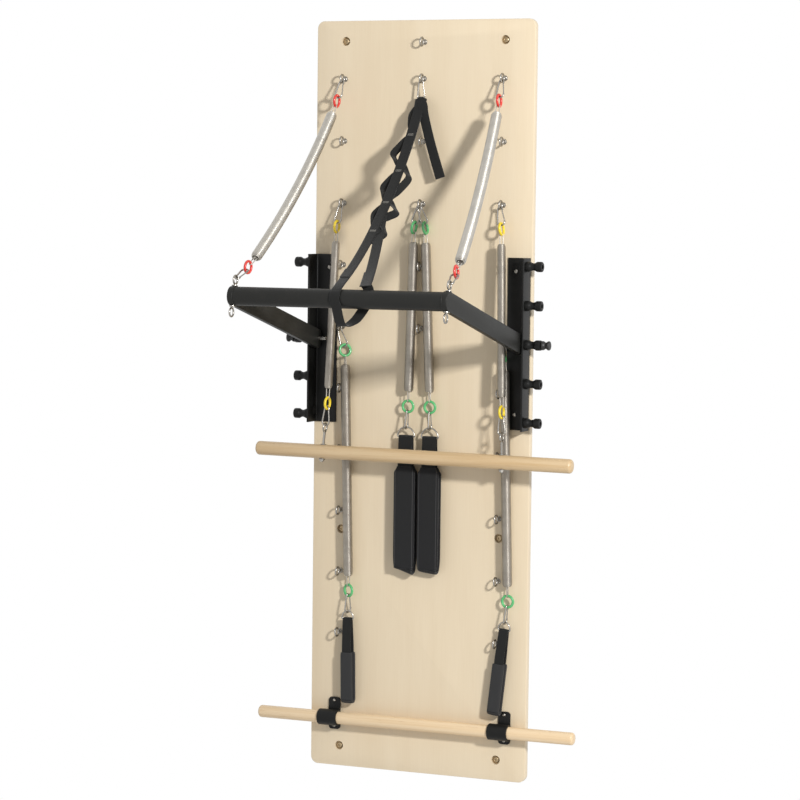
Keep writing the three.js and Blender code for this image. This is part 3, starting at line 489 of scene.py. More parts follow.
@dataclass(frozen=True)
class Webbing(Finish):
    """Woven black strap, its yarns drawn on the strap's own map, with painted highlight on the yarn crests
    and painted shade in the grooves.
    """

    name: str = "black_webbing_weave"
    slot: str = "black_webbing"
    width: float = 0.027
    dark: Colour = linear(11, 11, 11)
    light: Colour = linear(35, 36, 34)
    yarn: float = 0.0017
    pick: float = 0.0013
    stitch_inset: float = 0.0
    stitch_pitch: float = 0.0045
    stitch_half_width: float = 0.0006
    thread: Colour = linear(84, 84, 84)

    def paint(self, graph: Graph) -> None:
        """Warp ribs, weft picks that step from rib to rib, and an optional stitch line; the colour is painted
        lighter on the yarn crests as a highlight and darker in the grooves as shade.

        Args:
            graph: Graph of the material.
        """
        across = graph.cloth("X")
        along = graph.cloth("Y")
        rib = across.wave(self.yarn)
        step = across.part(self.yarn * 2) > 0.5
        picks = (along + step * (self.pick * 0.5)).wave(self.pick)
        fuzz = graph.noise(900.0, 2.0, 0.6, vector=graph.weave())
        height = rib * 0.6 + picks * 0.4
        # Painted highlight and shade: the colour follows the yarns' height, lighter on the crests and darker
        # in the grooves, mixed with random fuzz tone.
        share = height * 0.55 + fuzz * 0.35
        colour = graph.mix(share.between(0.2, 0.95), self.dark, self.light)
        normal = graph.ridge(height + fuzz * 0.3, 0.0003, 0.8)
        if self.stitch_inset:
            line = abs(abs(across) - (self.width / 2 - self.stitch_inset)) < self.stitch_half_width
            thread = line * (along.part(self.stitch_pitch) < 0.68)
            colour = graph.mix(thread, colour, self.thread)
            normal = graph.ridge(thread - line * 0.6, 0.0005, 0.8, normal)
        graph.surface(
            Base_Color=colour,
            Roughness=0.72 + fuzz * 0.2,
            Normal=normal,
            Sheen_Weight=0.25,
            Sheen_Roughness=0.4,
            Specular_IOR_Level=0.3,
        )


@dataclass(frozen=True)
class GripFoam(Finish):
    """Closed-cell foam sleeve with a dull skin."""

    name: str = "grip_foam"
    slot: str = "black_webbing"
    colour: Colour = linear(24, 24, 25)
    creased: Colour = linear(40, 40, 41)

    def paint(self, graph: Graph) -> None:
        """Pores and slow creases.

        Args:
            graph: Graph of the material.
        """
        pores = graph.noise(1100.0, 2.0, 0.6)
        cloud = graph.noise(1.0, 3.0, 0.6, (40.0, 40.0, 16.0))
        graph.surface(
            Base_Color=graph.mix(cloud * 0.6, self.colour, self.creased),
            Roughness=0.66 + pores * 0.2,
            Normal=graph.ridge(pores * 0.5 + cloud, 0.0004, 0.6),
            Sheen_Weight=0.12,
        )


class RingColour(Enum):
    """Colours of the coded rings."""

    RED = Enamel()
    YELLOW = Enamel(name="yellow_enamel", colour=linear(236, 205, 38))
    GREEN = Enamel(name="green_enamel", colour=linear(84, 178, 108))


PLATE = BrightPlate()
BRONZE = BrightPlate(name="bronzed_steel", colour=linear(176, 156, 124), roughness=0.3)
WIRE = SpringWire()
# A darker copy of the drawn spring wire, for the yellow and green coils.
DARKER_COIL_WIRE = SpringWire(name="darker_coil_wire", colour=linear(180, 174, 164), shade=linear(160, 153, 143))
BLACK = PowderCoat()
BAR_PAINT = PowderCoat(
    name="bar_powder_coat", slot="bar_paint", colour=linear(34, 34, 32), rubbed=linear(50, 48, 45),
    roughness=0.46,
)
STRAP_WEB = Webbing()
HAND_WEB = Webbing(name="hand_webbing", width=0.026)
FOOT_WEB = Webbing(name="foot_webbing", width=0.04)
PAD_CLOTH = Webbing(
    name="pad_cloth", width=0.06, dark=linear(15, 15, 16), light=linear(40, 40, 41), yarn=0.0011, pick=0.0011,
    stitch_inset=0.005,
)
THREAD = Webbing(name="pale_thread", dark=linear(150, 146, 138), light=linear(196, 192, 184))
LOWER_WOOD = DowelLacquer()
# Painted shade: the roll-down dowel's lacquer is a darker copy of the lower dowel's, standing in for shade on
# the dowel.
SHADED_ROLL_WOOD = DowelLacquer(name="roll_down_shaded_lacquer", pale=linear(216, 190, 151), warm=linear(202, 171, 127))


# Making of meshes


def let_go() -> None:
    """Leaves edit mode and deselects everything."""
    if bpy.context.object is not None and bpy.context.object.mode != "OBJECT":
        bpy.ops.object.mode_set(mode="OBJECT")
    bpy.ops.object.select_all(action="DESELECT")


def linked(name: str, data: Optional[bpy.types.ID]) -> Piece:
    """A new object with its data, linked to the scene.

    Args:
        name: Name of the object.
        data: Its mesh, curve, camera or light.

    Returns:
        The object.
    """
    made = bpy.data.objects.new(name, data)
    bpy.context.scene.collection.objects.link(made)
    return made


def hold(piece: Piece) -> None:
    """Makes a piece the only selected and active one.

    Args:
        piece: The piece.
    """
    let_go()
    piece.select_set(True)
    bpy.context.view_layer.objects.active = piece


def open_mesh(piece: Piece) -> None:
    """Opens a piece in edit mode with all its faces selected.

    Args:
        piece: The piece.
    """
    hold(piece)
    bpy.ops.object.mode_set(mode="EDIT")
    bpy.ops.mesh.select_mode(type="FACE")
    bpy.ops.mesh.select_all(action="SELECT")


def close_mesh() -> None:
    """Turns every face of the opened piece outwards, and goes back to object mode."""
    bpy.ops.mesh.select_all(action="SELECT")
    bpy.ops.mesh.normals_make_consistent(inside=False)
    bpy.ops.object.mode_set(mode="OBJECT")


def face_out(piece: Piece) -> None:
    """Turns every face of a closed piece outwards."""
    open_mesh(piece)
    close_mesh()


def modify(piece: Piece, kind: str, **settings: object) -> None:
    """Adds a modifier and applies it.

    Args:
        piece: The piece.
        kind: Blender's name of the modifier.
        settings: Values that it takes.
    """
    hold(piece)
    modifier = piece.modifiers.new(kind.lower(), kind)
    for key, value in settings.items():
        setattr(modifier, key, value)
    bpy.ops.object.modifier_apply(modifier=modifier.name)


def bevel(piece: Piece, width: float, segments: int = 2, angle: float = 40.0) -> None:
    """Rounds the edges of a piece that are sharper than an angle, by a width in millimetres."""
    limit = math.radians(angle)
    modify(piece, "BEVEL", width=width * MM, segments=segments, limit_method="ANGLE", angle_limit=limit)


def smooth(piece: Piece, angle: float) -> None:
    """Smooth shading that keeps edges sharper than the angle."""
    hold(piece)
    bpy.ops.object.shade_smooth_by_angle(angle=math.radians(angle))


def weld(pieces: Sequence[Piece], name: str) -> Piece:
    """Joins parts of one piece under its name.

    Args:
        pieces: The parts, which join the first one.
        name: Name of the piece.

    Returns:
        The one piece.
    """
    let_go()
    for part in pieces:
        part.select_set(True)
    bpy.context.view_layer.objects.active = pieces[0]
    if len(pieces) > 1:
        bpy.ops.object.join()
    pieces[0].name = name
    pieces[0].data.name = name
    return pieces[0]


def metric(place: Matrix) -> Matrix:
    """A place in millimetres as one in metres.

    Args:
        place: Place in millimetres.

    Returns:
        The same place, its translation in metres.
    """
    made = place.copy()
    made.translation = place.translation * MM
    return made


def set_in_place(piece: Piece, place: Matrix) -> Piece:
    """Moves a piece's mesh to a place in millimetres, its faces turned back out if that mirrors it.

    Args:
        piece: The piece.
        place: Place in millimetres.

    Returns:
        The piece.
    """
    piece.data.transform(metric(place))
    if place.determinant() < 0:
        piece.data.flip_normals()
    piece.data.update()
    return piece


def another(piece: Piece, name: str, place: Matrix) -> Piece:
    """A copy of a piece with its own mesh, moved in its mesh.

    Args:
        piece: The piece.
        name: Name of the copy.
        place: Move in millimetres.

    Returns:
        The copy.
    """
    made = linked(name, piece.data.copy())
    made.data.name = name
    return set_in_place(made, place)


def dress(piece: Piece, finish: Finish) -> Piece:
    """Gives a piece its finish.

    Args:
        piece: The piece.
        finish: Its finish.

    Returns:
        The piece.
    """
    piece.data.materials.clear()
    piece.data.materials.append(finish.material())
    return piece


def seat(piece: Piece, body: str, *nodes: str) -> Piece:
    """Lets a piece ride on a body and stand for nodes.

    Args:
        piece: The piece.
        body: Body of the record.
        nodes: Nodes of the record that it stands for.

    Returns:
        The piece.
    """
    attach(piece, body)
    if nodes:
        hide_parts(*nodes)
    LOG.info("%s rides on %s", piece.name, body)
    return piece


def install(model: Piece, name: str, place: Matrix, finish: Finish, body: str, *nodes: str) -> None:
    """Copies a model to its place, with its finish, on its body."""
    seat(dress(another(model, name, place), finish), body, *nodes)


def drop(*models: Piece) -> None:
    """Removes models that have been copied."""
    for model in models:
        bpy.data.objects.remove(model)


def skin(name: str, points: Sequence[Point], faces: Sequence[Sequence[int]]) -> Piece:
    """A mesh from points in millimetres and faces.

    Args:
        name: Name of the piece.
        points: Points in millimetres.
        faces: Corners of every face.

    Returns:
        The piece in metres.
    """
    mesh = bpy.data.meshes.new(name)
    mesh.from_pydata([tuple(Vector(point) * MM) for point in points], [], [list(face) for face in faces])
    mesh.update()
    return linked(name, mesh)


def bent_wire(
    name: str, points: Sequence[Point], radius: float, closed: bool = False, rings: int = 3
) -> Piece:
    """Round wire along points in millimetres, made as a bevelled curve.

    Args:
        name: Name of the piece.
        points: The centre line.
        radius: Wire radius in millimetres.
        closed: Whether the ends meet.
        rings: Roundness; the wire has 4 + 2 * rings sides.

    Returns:
        The wire as a mesh in metres.
    """
    let_go()
    curve = bpy.data.curves.new(name, "CURVE")
    curve.dimensions = "3D"
    curve.bevel_depth = radius * MM
    curve.bevel_resolution = rings
    curve.use_fill_caps = not closed
    path = curve.splines.new("POLY")
    path.points.add(len(points) - 1)
    for spot, point in zip(path.points, points):
        spot.co = (*(Vector(point) * MM), 1.0)
    path.use_cyclic_u = closed
    hold(linked(name, curve))
    bpy.ops.object.convert(target="MESH")
    made = bpy.context.object
    made.name = name
    smooth(made, 50.0)
    return made


def hoop(name: str, radius: float, wire: float, place: Matrix, steps: int = 40, sides: int = 14) -> Piece:
    """A closed wire ring with its hole along local X.

    Args:
        name: Name of the piece.
        radius: Radius of the ring's centre line in millimetres.
        wire: Wire radius in millimetres.
        place: Place in millimetres.
        steps: Steps round the ring.
        sides: Sides of the wire.

    Returns:
        The ring in metres.
    """
    let_go()
    bpy.ops.mesh.primitive_torus_add(
        major_radius=radius, minor_radius=wire, major_segments=steps, minor_segments=sides, align="WORLD"
    )
    made = bpy.context.object
    made.name = name
    made.data.transform(Matrix.Scale(MM, 4) @ place @ ALONG_X)
    smooth(made, 60.0)
    return made


def turned(
    name: str, stations: Sequence[Pair], place: Matrix, sides: int = 40, edge: float = 0.0,
    edge_angle: float = 40.0,
) -> Piece:
    """A turned piece on local Z, drawn out station by station from its first disc.

    Args:
        name: Name of the piece.
        stations: Radius and height of each step in millimetres, from the foot.
        place: Place in millimetres.
        sides: Sides of the turning.
        edge: Rounding of its edges in millimetres.
        edge_angle: Edges sharper than this angle are rounded.

    Returns:
        The piece in metres.
    """
    let_go()
    radius, height = stations[0]
    foot = (0, 0, height)
    bpy.ops.mesh.primitive_circle_add(vertices=sides, radius=radius, fill_type="NGON", location=foot)
    made = bpy.context.object
    made.name = name
    bpy.ops.object.transform_apply(location=True, rotation=False, scale=False)
    open_mesh(made)
    for next_radius, next_height in stations[1:]:
        bpy.ops.mesh.extrude_region_move(TRANSFORM_OT_translate={"value": (0, 0, next_height - height)})
        share = next_radius / radius
        bpy.ops.transform.resize(value=(share, share, 1.0), center_override=(0, 0, next_height))
        radius, height = next_radius, next_height
    close_mesh()
    made.data.transform(place)
    made.data.transform(Matrix.Scale(MM, 4))
    smooth(made, 35.0)
    if edge:
        bevel(made, edge, 2, edge_angle)
    return made


def slab(
    name: str, outline: Sequence[Pair], depth: float, place: Matrix, edge: float, segments: int = 2
) -> Piece:
    """A flat outline in local XY drawn out along local Z, its rims rounded.

    Args:
        name: Name of the piece.
        outline: Corners in millimetres, anticlockwise.
        depth: Thickness in millimetres.
        place: Place in millimetres.
        edge: Rounding of its rims in millimetres.
        segments: Steps of the rounding.

    Returns:
        The slab in metres.
    """
    made = skin(name, [(x, y, 0.0) for x, y in outline], [list(range(len(outline)))[::-1]])
    open_mesh(made)
    bpy.ops.mesh.extrude_region_move(TRANSFORM_OT_translate={"value": (0, 0, depth * MM)})
    close_mesh()
    made.data.transform(metric(place))
    bevel(made, edge, segments, 60)
    smooth(made, 30.0)
    return made


def rounded(corners: Sequence[Triple], steps: int = 6) -> List[Pair]:
    """Outline with its corners rounded.

    Args:
        corners: X, Y and radius of each corner, anticlockwise.
        steps: Steps of each bend.

    Returns:
        The points of the outline.
    """
    made: List[Pair] = []
    count = len(corners)
    for index, (x, y, radius) in enumerate(corners):
        here = Vector((x, y))
        before = (Vector(corners[index - 1][:2]) - here).normalized()
        after = (Vector(corners[(index + 1) % count][:2]) - here).normalized()
        opening = before.angle(after)
        reach = radius / math.tan(opening / 2)
        centre = here + (before + after).normalized() * (radius / math.sin(opening / 2))
        start = here + before * reach - centre
        sweep = math.pi - opening
        turn = 1.0 if before.cross(after) < 0 else -1.0
        for step in range(steps + 1):
            made.append(tuple(centre + Matrix.Rotation(turn * sweep * step / steps, 2) @ start))
    return made


def drill(piece: Piece, start: Vector, end: Vector, radius: float, sides: int = 32) -> None:
    """Cuts a round hole between two points in millimetres.

    Args:
        piece: The piece.
        start: Start in millimetres.
        end: End in millimetres.
        radius: Radius in millimetres.
        sides: Sides of the hole.
    """
    span = end - start
    let_go()
    bpy.ops.mesh.primitive_cylinder_add(vertices=sides, radius=radius * MM, depth=span.length * MM)
    tool = bpy.context.object
    place = span.to_track_quat("Z", "Y").to_matrix().to_4x4()
    place.translation = (start + end) * (MM / 2)
    tool.data.transform(place)
    modify(piece, "BOOLEAN", operation="DIFFERENCE", solver="EXACT", object=tool)
    drop(tool)


# Ribbons and windings


def spline(points: Sequence[Point], each: int, closed: bool = False) -> List[Vector]:
    """Catmull-Rom curve through points.

    Args:
        points: What it passes through.
        each: Steps from point to point.
        closed: Whether it comes round again.

    Returns:
        The points of the curve.
    """
    given = [Vector(point) for point in points]
    count = len(given)
    made: List[Vector] = []
    for index in range(count if closed else count - 1):
        p0 = given[index - 1] if closed or index else given[0] * 2 - given[1]
        p1 = given[index]
        p2 = given[(index + 1) % count]
        p3 = given[(index + 2) % count] if closed or index + 2 < count else given[-1] * 2 - given[-2]
        bend = 2 * p0 - 5 * p1 + 4 * p2 - p3
        twist = 3 * p1 - p0 - 3 * p2 + p3
        for step in range(each):
            t = step / each
            made.append(0.5 * (2 * p1 + (p2 - p0) * t + bend * t**2 + twist * t**3))
    if not closed:
        made.append(given[-1])
    return made


def tangents(points: Sequence[Vector], closed: bool) -> List[Vector]:
    """Direction of travel at each point.

    Args:
        points: Points in millimetres.
        closed: Whether the last point leads to the first.

    Returns:
        A unit vector for each point.
    """
    last = len(points) - 1
    made = []
    for index in range(len(points)):
        before = points[index - 1] if closed or index else points[0]
        after = points[(index + 1) % len(points)] if closed or index < last else points[last]
        made.append((after - before).normalized())
    return made


def each_point(value: Union[float, Vector, Sequence], count: int) -> Sequence:
    """One value for each point, from a list of them or from a single one."""
    return [value] * count if isinstance(value, (float, Vector)) else value


LANES = (-1.0, -0.985, -0.9, -0.6, -0.2, 0.2, 0.6, 0.9, 0.985, 1.0)
RIMS = (0.0, 0.55, 0.92, 1.0, 1.0, 1.0, 1.0, 0.92, 0.55, 0.0)


def ribbon(
    name: str,
    points: Sequence[Vector],
    width: Union[float, Sequence[float]],
    thickness: Union[float, Sequence[float]],
    across: Union[Vector, Sequence[Vector]] = ACROSS_X,
    closed: bool = False,
    crown: float = 0.0,
) -> Piece:
    """Flat webbing or a padded band along a path, with its own weave map.

    Args:
        name: Name of the piece.
        points: Centre line in millimetres.
        width: Width in millimetres, of all points or of each.
        thickness: Thickness in millimetres, of all points or of each.
        across: Direction of the width, of all points or of each.
        closed: Whether the ends meet.
        crown: How much the faces swell in the middle, in millimetres.

    Returns:
        The band in metres.
    """
    count = len(points)
    widths, depths, sideways = [each_point(value, count) for value in (width, thickness, across)]
    ways = tangents(points, closed)
    around = len(LANES) * 2 - 2
    spots: List[Vector] = []
    places: List[Pair] = []
    travelled = 0.0
    for index in range(count + (1 if closed else 0)):
        step = index % count
        if index:
            travelled += (points[step] - points[step - 1]).length
        side = (sideways[step] - ways[step] * sideways[step].dot(ways[step])).normalized()
        out = ways[step].cross(side).normalized()
        half = widths[step] / 2
        for layer, order in ((1.0, range(len(LANES))), (-1.0, range(len(LANES) - 2, 0, -1))):
            for lane in order:
                swell = crown * (1 - LANES[lane] ** 2)
                lift = layer * (depths[step] / 2 * RIMS[lane] + swell)
                if index < count:
                    spots.append(points[step] + side * (LANES[lane] * half) + out * lift)
                places.append((LANES[lane] * half * MM, travelled * MM))
    faces: List[List[int]] = []
    maps: List[List[Pair]] = []

    def add_face(corners: Sequence[int]) -> None:
        """Keeps one face and its place on the map."""
        faces.append([corner % len(spots) for corner in corners])
        maps.append([places[corner] for corner in corners])

    for index in range(count if closed else count - 1):
        here, there = index * around, (index + 1) * around
        for lane in range(around):
            beside = (lane + 1) % around
            add_face([here + lane, there + lane, there + beside, here + beside])
    if not closed:
        add_face(range(around))
        add_face(range(count * around - 1, (count - 1) * around - 1, -1))
    made = skin(name, spots, faces)
    weave = made.data.uv_layers.new(name="weave")
    for face, corners in zip(made.data.polygons, maps):
        for loop, place in zip(face.loop_indices, corners):
            weave.data[loop].uv = place
    face_out(made)
    smooth(made, 60.0)
    return made


def wound(
    name: str,
    axis: Callable[[float], Tuple[Vector, Vector]],
    length: float,
    normal: Vector,
    radius: float,
    wire: float,
    steps: int = 18,
    sides: int = 6,
) -> Piece:
    """A close-wound coil as one unbroken wire, its end turns drawn in to a round shoulder.

    Args:
        name: Name of the piece.
        axis: Point and direction of the coil's axis at a share of its length.
        length: Length of the coil in millimetres.
        normal: A direction square to the axis everywhere.
        radius: Outer radius in millimetres.
        wire: Wire radius in millimetres.
        steps: Steps of each turn.
        sides: Sides of the wire.

    Returns:
        The coil in metres.
    """
    pitch = wire * 2.04
    shoulder = 12.0
    least = 0.4
    total = int((length - wire * 2) / pitch * steps)
    turn = [math.tau * side / sides for side in range(sides)]
    section = [(math.cos(angle), math.sin(angle)) for angle in turn]
    spots: List[Vector] = []
    for step in range(total + 1):
        share = (wire + pitch * step / steps) / length
        point, way = axis(share)
        outward = normal.cross(way).normalized()
        angle = math.tau * step / steps
        radial = outward * math.cos(angle) + normal * math.sin(angle)
        edge = min(share * length, (1 - share) * length) / shoulder
        draw = 1.0 if edge >= 1 else least + (1 - least) * math.sqrt(max(0.0, 1 - (1 - edge) ** 2))
        centre = point + radial * ((radius - wire) * draw)
        spots.extend(centre + radial * (wire * u) + way * (wire * v) for u, v in section)
    faces = []
    for start in range(0, total * sides, sides):
        for side in range(sides):
            beside = (side + 1) % sides
            faces.append([start + side, start + beside, start + sides + beside, start + sides + side])
    faces.append(list(range(sides))[::-1])
    faces.append([total * sides + side for side in range(sides)])
    made = skin(name, spots, faces)
    face_out(made)
    for face in made.data.polygons:
        face.use_smooth = True
    return made


# The fittings


def vec(x: float, y: float, z: float) -> Vector:
    """Short for a vector."""
    return Vector((x, y, z))


def shift(x: float, y: float, z: float) -> Matrix:
    """Place without a turn."""
    return Matrix.Translation((x, y, z))


def frame_at(place: Vector, turn: Matrix) -> Matrix:
    """Place and turn as one matrix, in millimetres.

    Args:
        place: Place in millimetres.
        turn: Turn about the origin, made first.

    Returns:
        The matrix.
    """
    made = turn.to_4x4()
    made.translation = place
    return made


def hang_turn(heading: Vector, side: Vector = ACROSS_X) -> Matrix:
    """Turn that carries local down onto the heading and keeps local X near the side.

    Args:
        heading: Direction that local down takes.
        side: Direction that local X keeps near.

    Returns:
        The turn.
    """
    up = -heading
    out = up.cross(side).normalized()
    sideways = out.cross(up).normalized()
    return Matrix((sideways, out, up)).transposed()


def hanging(sideways: float, forward: float = 0.0) -> Vector:
    """Steep heading with a sideways and a forward part for each unit of drop."""
    return vec(sideways, -forward, -1.0).normalized()


def between(first: Vector, second: Vector) -> Vector:
    """Middle heading of two."""
    return (first + second).normalized()


def square_to(axis: Vector, heading: Vector) -> Vector:
    """The part of an axis that stands square to a heading."""
    return (axis - heading * axis.dot(heading)).normalized()


def bowed(start: Vector, control: Vector, end: Vector, t: float) -> Vector:
    """A point of the curve from start to end that leans towards a control point."""
    return start * (1 - t) ** 2 + control * (2 * t * (1 - t)) + end * t**2


def half_turn(steps: int) -> List[Pair]:
    """Cosine and sine of each step of half a turn."""
    angles = [math.pi * step / steps for step in range(steps + 1)]
    return [(math.cos(angle), math.sin(angle)) for angle in angles]


def clamped(value: float) -> float:
    """A share kept between 0 and 1."""
    return min(max(value, 0.0), 1.0)


def hash_of(text: str) -> int:
    """A number from a name that is the same on every run.

    Args:
        text: The name.

    Returns:
        The number.
    """
    total = 7
    for letter in text:
        total = (total * 31 + ord(letter)) % 100003
    return total


@dataclass
class EyeBolts:
    """The 26 screw eyes, three columns on the board, rings upright with their holes facing sideways."""

    spread: float = 229.0
    top: float = 942.0
    first_row: float = 846.0
    pitch: float = 164.45
    centre_rows: int = 5
    side_rows: int = 10
    out: float = 40.0
    stand_off: float = 20.0
    shank: float = 3.6
    collar: float = 6.2
    collar_thickness: float = 3.2
    washer: float = 7.4
    lean_step: float = 0.8

    def places(self) -> Places:
        """Centre of every ring by column and row.

        Returns:
            The centres by name.
        """
        def height(row: int) -> float:
            """Height of a row of the middle column."""
            return self.top if row == 0 else self.first_row - (row - 1) * self.pitch

        made = {f"centre_{row}": vec(0, -self.out, height(row)) for row in range(self.centre_rows + 1)}
        for row in range(1, self.side_rows + 1):
            for side, way in SIDES:
                made[f"{side}_{row}"] = vec(way * self.spread, -self.out, height(row))
        return made

    def model(self) -> Piece:
        """One eye at the origin: bent ring, neck, threaded shank, hexagon collar and washer.

        Returns:
            The piece, its ring about the origin.
        """
        ring = hoop("eye_ring", EYE_RING, EYE_WIRE, AS_DRAWN)
        neck = turned(
            "eye_neck",
            [
                (EYE_WIRE * 0.9, EYE_RING - 1.0), (self.shank * 1.15, EYE_RING + 1.6),
                (self.shank, EYE_RING + 3.0), (self.shank, self.stand_off + 12.0),
                (self.shank * 0.5, self.stand_off + 14.0),
            ],
            INTO_WALL,
            24,
        )
        face = self.stand_off - 0.35
        front = face - self.collar_thickness
        collar = [(self.collar * 0.86, front - 0.4), (self.collar, front + 0.3), (self.collar, face - 1.2)]
        nut = turned("eye_nut", collar, INTO_WALL, 6, 0.35, 25)
        washer = turned("eye_washer", [(self.washer, face - 1.3), (self.washer, face)], INTO_WALL, 32, 0.3)
        threads = []
        for row in range(3):
            lay = frame_at(vec(0, EYE_RING + 3.6 + row * 0.9, 0), Matrix.Rotation(QUARTER, 3, "Z"))
            threads.append(hoop("eye_thread", self.shank - 0.1, 0.32, lay, 20, 6))
        return weld([ring, neck, nut, washer, *threads], "eye_model")

    def build(self) -> Places:
        """Makes every eye.

        Returns:
            The rings' centres.
        """
        model = self.model()
        known = set(bpy.data.objects.keys())
        for key, place in self.places().items():
            lean = math.radians(((hash_of(key) % 13) - 6) * self.lean_step)
            node = f"eye_bolt_{key}"
            lay = frame_at(place, Matrix.Rotation(lean, 3, "Y"))
            install(model, f"screw_eye_{key}", lay, PLATE, ROOT, *([node] if node in known else []))
        drop(model)
        return self.places()


@dataclass
class Link:
    """Place of one ring in a chain."""

    centre: Vector
    heading: Vector
    side: Vector


@dataclass
class Chain:
    """Places of one hanging chain, in millimetres."""

    upper: Matrix
    lower: Matrix
    upper_ring: Link
    lower_ring: Link
    coil_top: Vector
    coil_foot: Vector
    control: Optional[Vector]
    normal: Vector
    foot: Vector
    direction: Vector
    steps: int = 240

    def bend(self) -> List[Vector]:
        """Points along the coil's axis.

        Returns:
            The points from top to foot.
        """
        shares = [step / self.steps for step in range(self.steps + 1)]
        if self.control is None:
            return [self.coil_top.lerp(self.coil_foot, t) for t in shares]
        return [bowed(self.coil_top, self.control, self.coil_foot, t) for t in shares]


@dataclass
class Hardware:
    """Carabiners, coloured rings, hooks and coils, and how they hang in one another."""

    length: float = 50.0
    wire: float = 2.25
    top_radius: float = 6.2
    foot_radius: float = 9.8
    ring: float = 15.5
    ring_wire: float = 3.0
    ring_skin: float = 3.5
    ring_inset: float = 0.4
    hook_wire: float = 1.5
    hook_length: float = 38.0
    gap: float = 0.6
    red_sag: float = 46.0
    red_end_sag: float = 20.0
    red_hook_share: float = 0.6

    def link_reach(self) -> float:
        """From a carabiner's top to the middle of the ring in its foot."""
        return self.length - self.wire - self.ring_wire - self.gap + self.ring

    def hang_point(self, eye: Vector, heading: Vector, beside: float = 0.0) -> Vector:
        """Top of a carabiner's wire in an upright eye ring.

        Args:
            eye: Centre of the eye ring.
            heading: Direction that the chain leaves in.
            beside: Offset off the ring's lowest point where two chains share it, in millimetres.

        Returns:
            The point in millimetres.
        """
        clear = EYE_WIRE + self.wire + self.gap
        hang = EYE_RING - clear
        if beside:
            contact = vec(0, beside, -math.sqrt(hang * hang - beside * beside) - clear)
        else:
            contact = vec(0, heading.y, heading.z).normalized() * EYE_RING
        return eye + contact - heading * clear

    def ring_point(self, top: Vector, heading: Vector, ring_heading: Vector) -> Vector:
        """Centre of the coloured ring that hangs in a carabiner."""
        return top + heading * (self.link_reach() - self.ring) + ring_heading * self.ring

    def hang(
        self,
        eye: Vector,
        hangs: Triple,
        coil: float,
        forward: float = 0.0,
        link_forward: float = 0.0,
        beside: float = 0.0,
        ring_turn: float = 0.0,
        lower_turn: float = 0.0,
    ) -> Chain:
        """Places of a free-hanging chain.

        Args:
            eye: Centre of the wall eye's ring.
            hangs: Sideways shares of the drop for the upper link, the coil and the lower link.
            coil: Length of the coil.
            forward: Share of the drop by which it leans off the wall.
            link_forward: Share by which the upper link leans off the wall.
            beside: Offset in the eye where two chains share it.
            ring_turn: Turn of the upper ring about the drop.
            lower_turn: Turn of the lower links about the drop.

        Returns:
            The chain.
        """
        upper, middle, lower = [hanging(*lean) for lean in zip(hangs, (link_forward, forward, forward))]
        top = self.hang_point(eye, upper, beside)
        upper_heading = between(upper, middle)
        upper_centre = self.ring_point(top, upper, upper_heading)
        coil_top = upper_centre + middle * self.hook_length
        coil_foot = coil_top + middle * coil
        lower_heading = between(middle, lower)
        lower_centre = coil_foot + middle * self.hook_length
        side = vec(math.cos(lower_turn), math.sin(lower_turn), 0)
        inset = self.ring - self.ring_wire - self.wire - self.gap
        lower_top = lower_centre + lower_heading * inset
        return Chain(
            frame_at(top, hang_turn(upper)), frame_at(lower_top, hang_turn(lower, side)),
            Link(upper_centre, upper_heading, vec(math.cos(ring_turn), math.sin(ring_turn), 0)),
            Link(lower_centre, lower_heading, side),
            coil_top, coil_foot, None, square_to(ACROSS_Y, middle), lower_top + lower * self.length, lower,
        )

    def sling(self, eye: Vector, bar_eye: Vector) -> Chain:
        """Places of a chain slung between two eyes with a gentle sag.

        Args:
            eye: Centre of the board's eye ring.
            bar_eye: Centre of the bar's eye ring.

        Returns:
            The chain.
        """
        along = (bar_eye - eye).normalized()
        sag_way = square_to(DOWN, along)
        slope = self.red_end_sag / self.link_reach()
        ends = []
        for start, way in ((eye, along), (bar_eye, -along)):
            leans = (slope, slope * self.red_hook_share)
            link, coil = [way * math.sqrt(1 - lean * lean) + sag_way * lean for lean in leans]
            top = self.hang_point(start, link)
            heading = between(link, coil)
            centre = self.ring_point(top, link, heading)
            ring = Link(centre, heading, ACROSS_X)
            ends.append((frame_at(top, hang_turn(link)), ring, centre + coil * self.hook_length, link))
        (upper, upper_ring, coil_top, _), (lower, lower_ring, coil_foot, direction) = ends
        middle = (coil_top + coil_foot) / 2
        control = middle + sag_way * ((self.red_sag - (middle - eye).dot(sag_way)) * 2)
        normal = along.cross(sag_way).normalized()
        return Chain(
            upper, lower, upper_ring, lower_ring, coil_top, coil_foot, control, normal, lower.translation,
            direction,
        )

    def carabiner(self) -> Piece:
        """One spring snap hook in its own XZ plane, its top at the origin.

        Returns:
            The hook as one piece.
        """
        foot = self.foot_radius - self.length
        lean = math.asin((self.foot_radius - self.top_radius) / (-self.top_radius - foot))

        def arc(radius: float, height: float, start: float, end: float, steps: int) -> List[Vector]:
            """Points of a part of a circle in XZ."""
            turn = [start + (end - start) * step / steps for step in range(steps + 1)]
            return [vec(radius * math.cos(a), 0, height + radius * math.sin(a)) for a in turn]

